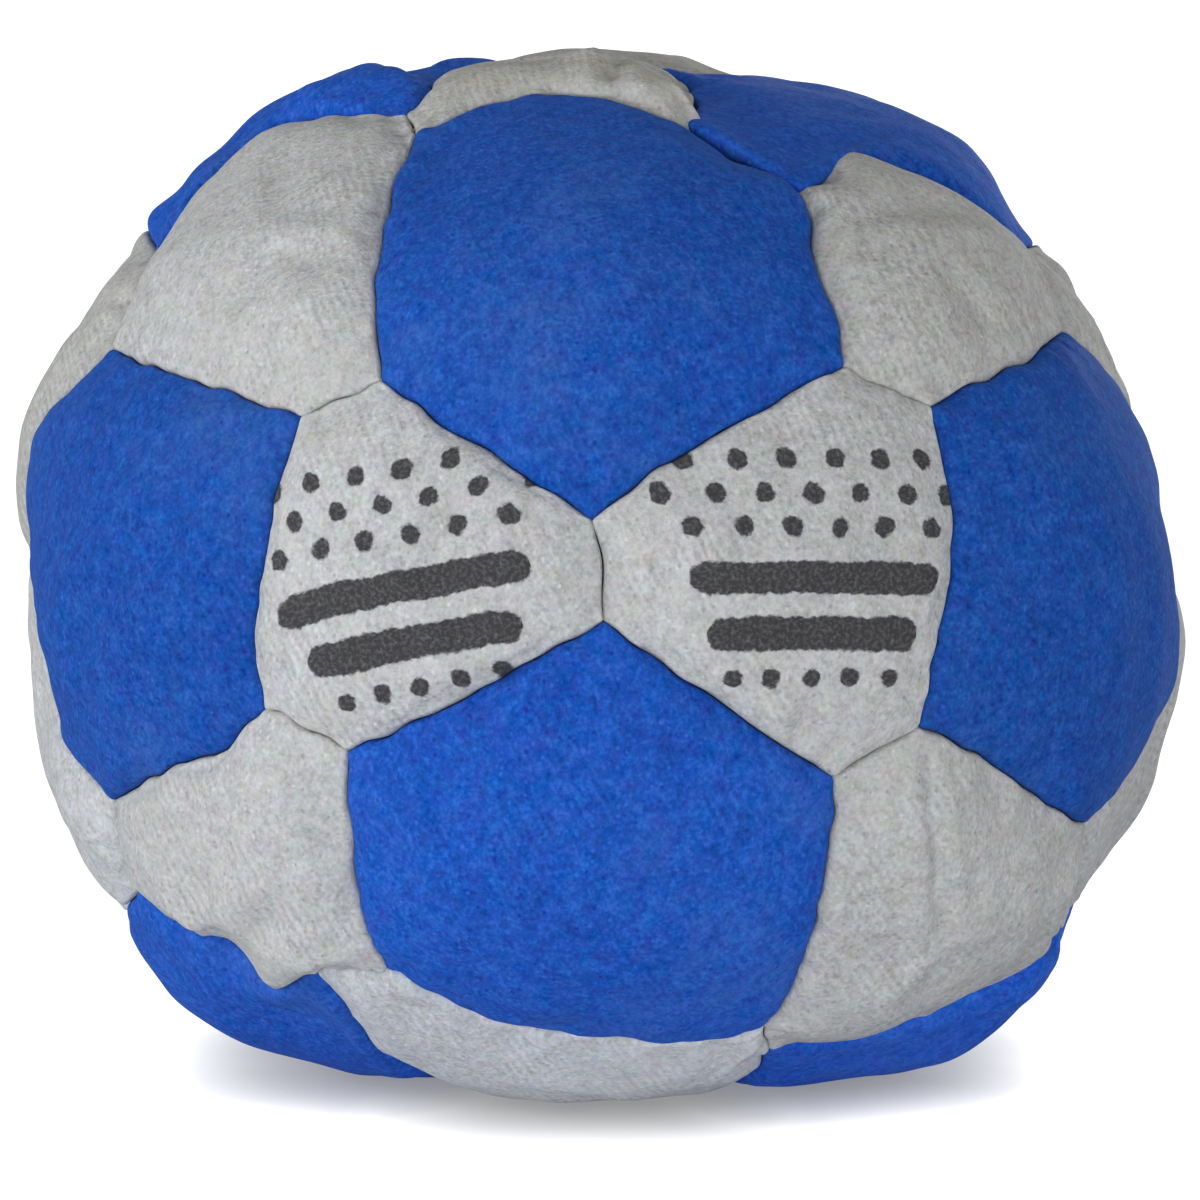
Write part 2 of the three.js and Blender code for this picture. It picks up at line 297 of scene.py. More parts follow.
@dataclass
class Seam:
    """One seam between two panels, from junction to junction at the panels' folded edges."""

    length_marks: ClassVar[int] = 33

    ends: tuple[int, int]
    points: np.ndarray
    places: tuple[str, str]

    def run(self, start: int, shares: np.ndarray) -> np.ndarray:
        """Points of the seam's smooth line.

        Args:
            start: The junction at the end that the shares count from.
            shares: Rising shares of the seam's length.

        Returns:
            One point for each share.
        """
        if start == self.ends[0]:
            return smooth_run(self.points, shares)
        return smooth_run(self.points, 1 - shares[::-1])[::-1].copy()

    @property
    def length(self) -> float:
        """The seam's length along its line."""
        line = smooth_run(self.points, np.linspace(0, 1, self.length_marks))
        return float(np.linalg.norm(np.diff(line, axis=0), axis=1).sum())


class SeamNet:
    """All seams of the bag, shared by the panels on both sides of each.

    Panel corners that lie within the junction's reach of each other meet at one junction.
    """

    junction_reach: ClassVar[float] = 1.5 * MM

    def __init__(self, form: FilledForm) -> None:
        """Reads every panel node and joins the panels' outlines to one net of seams.

        Args:
            form: The filled bag's form.
        """
        self.form = form
        names = sorted(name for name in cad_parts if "_panel_" in name)
        self.outlines = [Outline.read(name, form) for name in names]
        self.junctions: list[np.ndarray] = []
        self.seams: dict[frozenset[int], Seam] = {}
        self._join_corners()
        self._join_sides()

    def _join_corners(self) -> None:
        """Gathers the three panel corners that meet at each junction."""
        spots: list[list[np.ndarray]] = []
        for outline in self.outlines:
            outline.junctions = []
            for corner in outline.corners:
                place = outline.loop[corner]
                away = [np.linalg.norm(spot[0] - place) for spot in spots]
                near = [k for k, gap in enumerate(away) if gap < self.junction_reach]
                if not near:
                    spots.append([])
                    near = [len(spots) - 1]
                spots[near[0]].append(place)
                outline.junctions.append(near[0])
        self.junctions = [np.mean(spot, axis=0) for spot in spots]

    def _join_sides(self) -> None:
        """Lays each seam midway between the two panel sides that it joins."""
        sides: dict[frozenset[int], list[tuple[str, int, np.ndarray]]] = {}
        for outline in self.outlines:
            for number, start in enumerate(outline.junctions):
                end = outline.junctions[(number + 1) % len(outline.junctions)]
                side = (outline.place_key, start, outline.side(number))
                sides.setdefault(frozenset((start, end)), []).append(side)
        for ends, pair in sides.items():
            (one, start, first), (other, _, second) = pair
            middle = (first + second[::-1]) / 2
            (end,) = ends - {start}
            middle[0], middle[-1] = self.junctions[start], self.junctions[end]
            self.seams[ends] = Seam((start, end), middle, (one, other))

    def side(self, outline: Outline, number: int, shares: np.ndarray) -> np.ndarray:
        """Points of one side of a panel along its seam.

        Args:
            outline: The panel's outline.
            number: The side's number.
            shares: Rising shares of the side's length.

        Returns:
            One point for each share.
        """
        start = outline.junctions[number]
        end = outline.junctions[(number + 1) % len(outline.junctions)]
        return self.seams[frozenset((start, end))].run(start, shares)


@dataclass(frozen=True)
class EdgeRow:
    """One row of points along a panel's folded edge: its distance from the seam, and depth."""

    inset: float
    depth: float


@dataclass(frozen=True)
class PanelCut:
    """How a panel of suede is cut, turned in and divided into faces.

    The rows lead down the folded edge, and the panel's crown rolls over into the first of
    them. At its corners the edge reaches a little further, so that the seams close there.
    """

    thickness: float = 0.8 * MM
    fold_level: float = 0.9 * MM
    start: EdgeRow = EdgeRow(0.13 * MM, 0.20 * MM)
    rows: tuple[EdgeRow, ...] = (
        EdgeRow(0.004 * MM, 0.40 * MM),
        EdgeRow(0.006 * MM, 0.95 * MM),
        EdgeRow(0.30 * MM, 1.55 * MM),
        EdgeRow(0.30 * MM, 2.60 * MM),
    )
    allowance: float = 2.6 * MM
    first_level: int = 4
    last_level: int = 6
    grading: float = 1.35
    roll: float = 1.15 * MM
    corner_spare: float = 0.05 * MM
    corner_reach: float = 0.7 * MM
    crown_terms: int = 5
    bag_radius: float = 24 * MM

    @property
    def half_steps(self) -> int:
        """The faces from a side to the middle, and along half a side, in the first cut."""
        return 2 ** (self.first_level - 1)

    @property
    def marks(self) -> np.ndarray:
        """Places along a side, as shares of its length, closer together at its corners."""
        half = (np.arange(self.half_steps + 1) / self.half_steps) ** self.grading / 2
        return np.concatenate([half, 1 - half[-2::-1]])


class SuedePanel:
    """One panel of suede, from its flat cut to its sewn and filled form."""

    def __init__(self, outline: Outline, net: SeamNet, cut: PanelCut) -> None:
        """Takes the panel's place in the net, and makes its own level frame over its middle.

        Args:
            outline: The panel's outline.
            net: The net of seams.
            cut: How the panel is cut.
        """
        self.outline = outline
        self.net = net
        self.cut = cut
        self.sides = [net.side(outline, k, cut.marks) for k in range(outline.suede.sides)]
        ring = np.vstack([side[:-1] for side in self.sides])
        self.centre = ring.mean(axis=0)
        self.up = net.form.up(outline.crown.mean(axis=0)[None])[0]
        self.right = unit(np.cross([0.0, 0.0, 1.0], self.up) + np.array([1e-6, 0.0, 0.0]))
        self.ahead = np.cross(self.up, self.right)
        terms = range(cut.crown_terms)
        self.powers = [(a, b) for a in terms for b in terms[: cut.crown_terms - a]]
        flat = self.flatten(outline.crown)
        self.heights = np.linalg.lstsq(self._terms(flat[:, :2]), flat[:, 2], rcond=None)[0]
        self.piece: bpy.types.Object | None = None
        self._corners: np.ndarray | None = None
        self.edge_index: dict[int, int] = {}

    def flatten(self, points: np.ndarray) -> np.ndarray:
        """Points in the panel's own frame: to its right, ahead and up from its middle."""
        return (points - self.centre) @ np.column_stack([self.right, self.ahead, self.up])

    def _terms(self, flat: np.ndarray) -> np.ndarray:
        """The terms of the crown's smooth height at level places, in centimetres."""
        x, y = flat[:, 0] * 100, flat[:, 1] * 100
        return np.column_stack([x**a * y**b for a, b in self.powers])

    def crown_at(self, flat: np.ndarray) -> np.ndarray:
        """The points of the smooth crown over level places.

        Args:
            flat: Places to the right and ahead of the panel's middle.

        Returns:
            One point for each.
        """
        height = self._terms(flat) @ self.heights
        sideways = flat[:, :1] * self.right + flat[:, 1:2] * self.ahead
        return self.centre + sideways + height[:, None] * self.up

    def edge_row(self, row: EdgeRow) -> np.ndarray:
        """The points of one row along the folded edge, corner after corner.

        Args:
            row: How far the row lies from the seam's middle, and how deep.

        Returns:
            One point for each step along each side.
        """
        shares = self.cut.marks[:, None]
        to_start, to_end = np.clip(1 - 2 * shares, 0, 1), np.clip(2 * shares - 1, 0, 1)
        ahead = [unit(np.gradient(side, axis=0)) for side in self.sides]
        turns = [
            math.acos(float(np.clip(ahead[k - 1][-1] @ ahead[k][0], -1, 1)))
            for k in range(len(self.sides))
        ]
        rows = []
        for k, side in enumerate(self.sides):
            up = self.net.form.up(side)
            inward = unit(np.cross(up, ahead[k]))
            leaving = math.tan(turns[k] / 2) * to_start
            arriving = math.tan(turns[(k + 1) % len(turns)] / 2) * to_end
            level = inward + ahead[k] * (leaving - arriving)
            ends = np.linalg.norm(side[:, None] - side[[0, -1]][None], axis=2).min(axis=1)
            spare = self.cut.corner_spare * fade(ends, self.cut.corner_reach)
            eased = row.inset - spare[:, None]
            rows.append((side + level * eased + (self.cut.fold_level - row.depth) * up)[:-1])
        return np.vstack(rows)

    def cut_flat(self) -> None:
        """Cuts the panel as a flat polygon, divided into quads between corners and middle."""
        count = len(self.sides)
        bpy.ops.object.select_all(action="DESELECT")
        bpy.ops.mesh.primitive_circle_add(
            vertices=count, radius=1 / math.cos(math.pi / count), fill_type="NGON"
        )
        self.piece = bpy.context.object
        self.piece.name = f"{self.outline.suede.value}_suede_{self.outline.place}"
        self.piece.data.name = self.piece.name
        self.piece.data.materials.clear()
        self._corners = positions_of(self.piece)[:, :2]
        levels = {"levels": self.cut.first_level, "render_levels": self.cut.first_level}
        apply_modifier(self.piece, "SUBSURF", subdivision_type="SIMPLE", **levels)

    def _kites(self, flat: np.ndarray) -> tuple[np.ndarray, np.ndarray, np.ndarray]:
        """Where each vertex of the flat cut lies in its kite from a corner to the middle.

        Args:
            flat: The vertices' places in the regular polygon.

        Returns:
            Each vertex's corner, its steps along the side that leaves the corner, and its
            steps along the side that arrives there.
        """
        count = len(self.sides)
        corners = unit(self._corners)
        if np.cross(corners[0], corners[1]) < 0:
            corners = corners[[0, *range(count - 1, 0, -1)]]
        middles = unit(corners + np.roll(corners, -1, axis=0))
        nearest = np.argmax(flat @ corners.T, axis=1)
        rows = np.arange(len(flat))
        from_side = np.clip(1 - flat @ middles.T, 0, 1)
        leaving = from_side[rows, nearest]
        arriving = from_side[rows, (nearest - 1) % count]
        # In a kite the distances from its two sides are v (k + (1 - k) u) and
        # u (k + (1 - k) v), which is solved for the shares u and v.
        k = 1 - math.cos(2 * math.pi / count)
        shift = (leaving - arriving) / k
        slope = k + shift * (1 - k)
        u = (np.sqrt(slope**2 + 4 * (1 - k) * arriving) - slope) / (2 * (1 - k))
        steps = self.cut.half_steps
        return nearest, np.rint(u * steps).astype(int), np.rint((u + shift) * steps).astype(int)

    def lay_on(self) -> None:
        """Lays the flat cut over the filled bag, with its edge in the seams."""
        corner, along, back = self._kites(positions_of(self.piece)[:, :2])
        steps = self.cut.half_steps
        count = len(self.sides)
        edge = self.edge_row(self.cut.start)
        level = self.flatten(edge)[:, :2]
        whole = len(level)
        middle = level.mean(axis=0)
        places = np.empty((len(corner), 2))
        for c in range(count):
            mine = corner == c
            i, j = along[mine], back[mine]
            u = ((i / steps) ** self.cut.grading)[:, None]
            v = ((j / steps) ** self.cut.grading)[:, None]
            first = c * 2 * steps
            start = level[first]
            half, back_half = level[first + steps], level[(first - steps) % whole]
            side, last = level[first + i], level[(first - j) % whole]
            # A patch between two half sides of the panel and two spokes to its middle.
            spoke = back_half + (middle - back_half) * u
            other_spoke = half + (middle - half) * v
            plain = (1 - u) * (1 - v) * start + u * (1 - v) * half
            plain = plain + (1 - u) * v * back_half + u * v * middle
            mixed = (1 - v) * side + v * spoke + (1 - u) * last + u * other_spoke
            places[mine] = mixed - plain
        crown = self.crown_at(places)
        offset = edge - self.crown_at(level)
        distance, share = self._from_edge(places, level)
        roll = np.clip(1 - distance / self.cut.roll, 0, 1)
        crown += (1 - np.sqrt(1 - roll**2))[:, None] * self._at(offset, share)
        self.edge_index = {}
        for vertex in np.flatnonzero((along == 0) | (back == 0)):
            first = corner[vertex] * 2 * steps
            spot = first + along[vertex] if back[vertex] == 0 else (first - back[vertex]) % whole
            crown[vertex] = edge[spot]
            self.edge_index[int(vertex)] = int(spot)
        move_to(self.piece, crown)

    @staticmethod
    def _from_edge(places: np.ndarray, level: np.ndarray) -> tuple[np.ndarray, np.ndarray]:
        """How far places lie from the panel's edge.

        Args:
            places: Level places on the panel.
            level: The edge's points, as a closed ring.

        Returns:
            The distances, and the nearest spots along the ring, counted in its points.
        """
        line = np.roll(level, -1, axis=0) - level
        from_start = places[:, None] - level[None]
        share = np.einsum("ijk,jk->ij", from_start, line) / np.einsum("jk,jk->j", line, line)
        share = np.clip(share, 0, 1)
        gap = np.linalg.norm(from_start - share[..., None] * line[None], axis=2)
        closest = np.argmin(gap, axis=1)
        rows = np.arange(len(places))
        return gap[rows, closest], closest + share[rows, closest]

    @staticmethod
    def _at(ring: np.ndarray, share: np.ndarray) -> np.ndarray:
        """Values between the points of a closed ring.

        Args:
            ring: The value at each of its points.
            share: Spots along it, counted in points.

        Returns:
            One value for each spot.
        """
        first = np.floor(share).astype(int)
        part = (share - first)[:, None]
        return ring[first % len(ring)] * (1 - part) + ring[(first + 1) % len(ring)] * part

    def turn_in(self) -> None:
        """Extrudes the panel's edge down into the seam, row by row."""
        select_only(self.piece)
        bpy.ops.object.mode_set(mode="EDIT")
        bpy.ops.mesh.select_mode(type="VERT")
        bpy.ops.mesh.select_all(action="DESELECT")
        bpy.ops.mesh.select_non_manifold()
        last = self.edge_row(self.cut.start)
        for row in self.cut.rows:
            bpy.ops.mesh.extrude_region_move()
            shape = bmesh.from_edit_mesh(self.piece.data)
            ring = self.edge_row(row)
            for vertex in shape.verts:
                if vertex.select:
                    gap = np.linalg.norm(last - np.array(vertex.co), axis=1)
                    vertex.co = ring[int(np.argmin(gap))]
            bmesh.update_edit_mesh(self.piece.data)
            last = ring
        bpy.ops.object.mode_set(mode="OBJECT")

    def finish_fold(self) -> None:
        """Rounds the panel and its fold."""
        levels = self.cut.last_level - self.cut.first_level
        apply_modifier(self.piece, "SUBSURF", levels=levels, render_levels=levels)

    def thicken(self) -> None:
        """Gives the suede its thickness towards the inside."""
        apply_modifier(self.piece, "SOLIDIFY", thickness=self.cut.thickness, offset=-1)
        select_only(self.piece)
        bpy.ops.object.shade_smooth()

    def flat_size(self) -> tuple[float, float, float]:
        """The size of the panel's flat cut with its allowance.

        Returns:
            Its width and length in metres, and its area in square metres.
        """
        ring = self.flatten(self.edge_row(self.cut.start))
        spokes = ring[:, :2]
        reach = np.linalg.norm(spokes, axis=1)
        # The way over a ball is longer than the level one, by the arcsine's second term.
        curve = 1 + (reach / self.cut.bag_radius) ** 2 / 6
        grown = spokes * (curve + self.cut.allowance / reach)[:, None]
        x, y = grown.T
        area = abs(np.sum(x * np.roll(y, -1) - y * np.roll(x, -1))) / 2
        width, length = np.ptp(x), np.ptp(y)
        return float(width), float(length), float(area)


@dataclass(frozen=True)
class FillingPress:
    """The press of the filling against the sewn panels, as one cloth simulation of them all.

    The panels are simulated at a larger scale, at which cloth is steadier. They may not move
    further than the most that is given here.
    """

    scale: float = 20.0
    frames: int = 26
    quality: int = 6
    spare: float = 0.02
    pressure: float = 2.0
    tension: float = 30.0
    bending: float = 0.08
    damping: float = 4.0
    vertex_mass: float = 0.004
    most: float = 0.45 * MM

    def _join(self, panels: list[SuedePanel], starts: list[np.ndarray]) -> bpy.types.Object:
        """Joins enlarged copies of all panels to one cloth, with their edges held.

        Args:
            panels: The panels.
            starts: The places of each panel's vertices.

        Returns:
            The cloth.
        """
        copies = []
        for panel, places in zip(panels, starts):
            copy = panel.piece.copy()
            copy.data = panel.piece.data.copy()
            bpy.context.collection.objects.link(copy)
            move_to(copy, places * self.scale)
            copies.append(copy)
        select_only(*copies)
        bpy.ops.object.join()
        cloth = bpy.context.object
        sewn = cloth.vertex_groups.new(name="sewn")
        first = 0
        for panel, places in zip(panels, starts):
            sewn.add([first + vertex for vertex in panel.edge_index], 1.0, "REPLACE")
            first += len(places)
        return cloth

    def _simulate(self, cloth: bpy.types.Object) -> None:
        """Runs the simulation and applies its result.

        Args:
            cloth: The cloth that all panels are joined to.
        """
        modifier = cloth.modifiers.new("Filling", "CLOTH")
        settings = modifier.settings
        settings.quality = self.quality
        settings.mass = self.vertex_mass
        settings.tension_stiffness = settings.compression_stiffness = self.tension
        settings.shear_stiffness = self.tension / 2
        settings.bending_stiffness = self.bending
        settings.air_damping = self.damping
        settings.vertex_group_mass = "sewn"
        settings.pin_stiffness = 1.0
        settings.shrink_min = settings.shrink_max = -self.spare
        settings.use_pressure = True
        settings.uniform_pressure_force = self.pressure
        settings.effector_weights.gravity = 0.0
        modifier.collision_settings.use_collision = False
        for number in range(1, self.frames + 1):
            bpy.context.scene.frame_set(number)
        select_only(cloth)
        bpy.ops.object.modifier_apply(modifier=modifier.name)

    def press(self, panels: list[SuedePanel]) -> None:
        """Swells all panels between their sewn edges and moves them to the result.

        Args:
            panels: The panels, laid over the bag and not yet turned in.
        """
        starts = [positions_of(panel.piece) for panel in panels]
        cloth = self._join(panels, starts)
        self._simulate(cloth)
        pressed = positions_of(cloth) / self.scale
        bpy.data.objects.remove(cloth)
        bpy.context.scene.frame_set(1)
        first = 0
        for panel, places in zip(panels, starts):
            step = pressed[first : first + len(places)] - places
            length = np.linalg.norm(step, axis=1, keepdims=True)
            step *= np.minimum(1.0, self.most / np.maximum(length, 1e-9))
            first += len(places)
            move_to(panel.piece, places + step)
            LOG.info("%s: filling moves it %.2f mm", panel.piece.name, length.max() / MM)


@dataclass(frozen=True)
class Unevenness:
    """Slow, shapeless unevenness of the whole bag, the same on both sides of a seam."""

    wavelength: float
    rise: float
    seed: int
    waves: int = 14
    spread: tuple[float, float] = (0.7, 1.4)

    def shift(self, places: np.ndarray) -> np.ndarray:
        """How far each place moves.

        Args:
            places: The places, one to a row.

        Returns:
            One move for each.
        """
        chance = np.random.default_rng(self.seed)
        moved = np.zeros_like(places)
        for _ in range(self.waves):
            wave = unit(chance.normal(size=3)) * 2 * math.pi / self.wavelength
            wave *= chance.uniform(*self.spread)
            swing = np.sin(places @ wave + chance.uniform(0, 2 * math.pi))
            moved += swing[:, None] * unit(chance.normal(size=3))
        return moved * self.rise / math.sqrt(self.waves / 2)


@dataclass(frozen=True)
class Grab:
    """A smooth pull on all panels, or some, round one place, as with a sculptor's brush."""

    place: tuple[float, float, float]
    reach: float
    pull: tuple[float, float, float]
    panels: tuple[str, ...] = ()

    def shift(self, places: np.ndarray) -> np.ndarray:
        """How far each place moves."""
        away = np.linalg.norm(places - np.array(self.place) * MM, axis=1)
        return fade(away, self.reach * MM)[:, None] * np.array(self.pull) * MM


@dataclass(frozen=True)
class Dent:
    """A crease or soft dent that runs through points on some panels, in millimetres.

    Its lips are the low ridges on both sides, as a share of its depth. Their place and width
    are in widths of the dent.
    """

    through: tuple[tuple[float, float, float], ...]
    depth: float
    width: float
    panels: tuple[str, ...] = ()
    lip: float = 0.0
    lip_place: float = 2.2
    lip_width: float = 1.1
    taper: float = 0.6
    samples: int = 40

    def shift(self, places: np.ndarray, up: np.ndarray) -> np.ndarray:
        """How far each place moves, inwards along the crease and out at its lips.

        Args:
            places: The places, one to a row.
            up: The directions out of the bag there.

        Returns:
            One move for each.
        """
        marks = np.linspace(0, 1, self.samples)
        line = smooth_run(np.array(self.through) * MM, marks)
        gap = np.linalg.norm(places[:, None] - line[None], axis=2)
        nearest = np.argmin(gap, axis=1)
        away = gap[np.arange(len(places)), nearest] / (self.width * MM)
        ends = np.sin(marks * math.pi) ** self.taper
        lips = np.exp(-(((away - self.lip_place) / self.lip_width) ** 2))
        profile = self.lip * lips - np.exp(-(away**2))
        return (profile * ends[nearest] * self.depth * MM)[:, None] * up


@dataclass(frozen=True)
class StitchPull:
    """The small dimples that each hand stitch pulls along a seam.

    Between two stitches the seam opens a little. The seam line also wanders, as the stitches
    are not all the same distance from the edge.
    """

    pitch: float = 1.65 * MM
    dimple: float = 0.13 * MM
    opening: float = 0.015 * MM
    opening_reach: float = 1.4 * MM
    shoulder: float = 0.4 * MM
    reach: float = 1.9 * MM
    sharpness: float = 0.36 * MM
    loosest: float = 0.35
    slip: float = 0.16
    wander: Unevenness = Unevenness(2.3 * MM, 0.11 * MM, 31)
    wander_reach: float = 1.9 * MM
    samples: int = 81

    def _nearest(
        self, places: np.ndarray, seams: list[Seam]
    ) -> tuple[np.ndarray, np.ndarray, np.ndarray, np.ndarray]:
        """Finds the spot on the seams that is nearest to each place.

        Args:
            places: The panel's vertices.
            seams: The panel's seams.

        Returns:
            The spots, how far they are, the number of the seam that each is on, and its
            share of that seam's length.
        """
        marks = np.linspace(0, 1, self.samples)
        lines = np.vstack([smooth_run(seam.points, marks) for seam in seams])
        tree = KDTree(len(lines))
        for k, point in enumerate(lines):
            tree.insert(point, k)
        tree.balance()
        spots, index, distance = zip(*(tree.find(place) for place in places))
        index = np.array(index)
        return np.array(spots), np.array(distance), index // len(marks), marks[index % len(marks)]

    def shift(
        self, places: np.ndarray, up: np.ndarray, seams: list[Seam]
    ) -> tuple[np.ndarray, np.ndarray]:
        """How far each place of a panel moves, and how far it lies from its seams.

        Args:
            places: The panel's vertices.
            up: The directions out of the bag there.
            seams: The panel's seams.

        Returns:
            The moves, and the distances in metres.
        """
        spots, distance, seam_of, share = self._nearest(places, seams)
        level = places - spots
        level -= np.einsum("ij,ij->i", level, up)[:, None] * up
        level = unit(level)
        near = fade(distance - self.shoulder, self.reach)
        moves = np.zeros_like(places)
        for number, seam in enumerate(seams):
            mine = seam_of == number
            count = max(2, round(seam.length / self.pitch))
            # Each seam has a chance of its own, the same from both of its panels.
            chance = np.random.default_rng(1000 + sum(seam.ends) * 7 + min(seam.ends))
            strength = chance.uniform(self.loosest, 1.0, count + 1)
            slip = chance.uniform(-self.slip, self.slip, count + 1)
            at = share[mine] * count
            stitch = np.clip(np.rint(at - 0.5), 0, count - 1).astype(int)
            off = (at - 0.5 - stitch - slip[stitch]) * seam.length / count
            pull = strength[stitch] * np.exp(-((off / self.sharpness) ** 2))
            moves[mine] -= (pull * near[mine] * self.dimple)[:, None] * up[mine]
            gape = (1 - pull) * fade(distance[mine], self.opening_reach) * self.opening
            moves[mine] += gape[:, None] * level[mine]
        moves += self.wander.shift(places) * fade(distance, self.wander_reach)[:, None]
        return moves, distance


# How some panels are darker (below nought) or lighter (above it) than their suede's own colour:
# partly dye, partly painted light, lighter on the bottom panels, darker on the top and sides and in
# the painted shade of a fold.
# Painted light: these tones make the bottom panels lighter and the top and side panels darker.
TONES_AND_PAINTED_LIGHT: dict[str, float] = {
    "grey_top_front": -0.85,
    "grey_front_upper_right": -0.4,
    "grey_front_upper_left": 0.1,
    "grey_front_left": 0.3,
    "grey_front_right": 0.15,
    "grey_front_lower_left": 0.1,
    "grey_front_lower_right": -0.1,
    "grey_left_lower": 0.7,
    "grey_bottom_front": 1.35,
    "blue_bottom_right": 1.5,
    "blue_bottom_left": 0.3,
    "blue_top_right": 0.2,
    "blue_left_front": -0.8,
    "blue_right_front": -1.1,
}

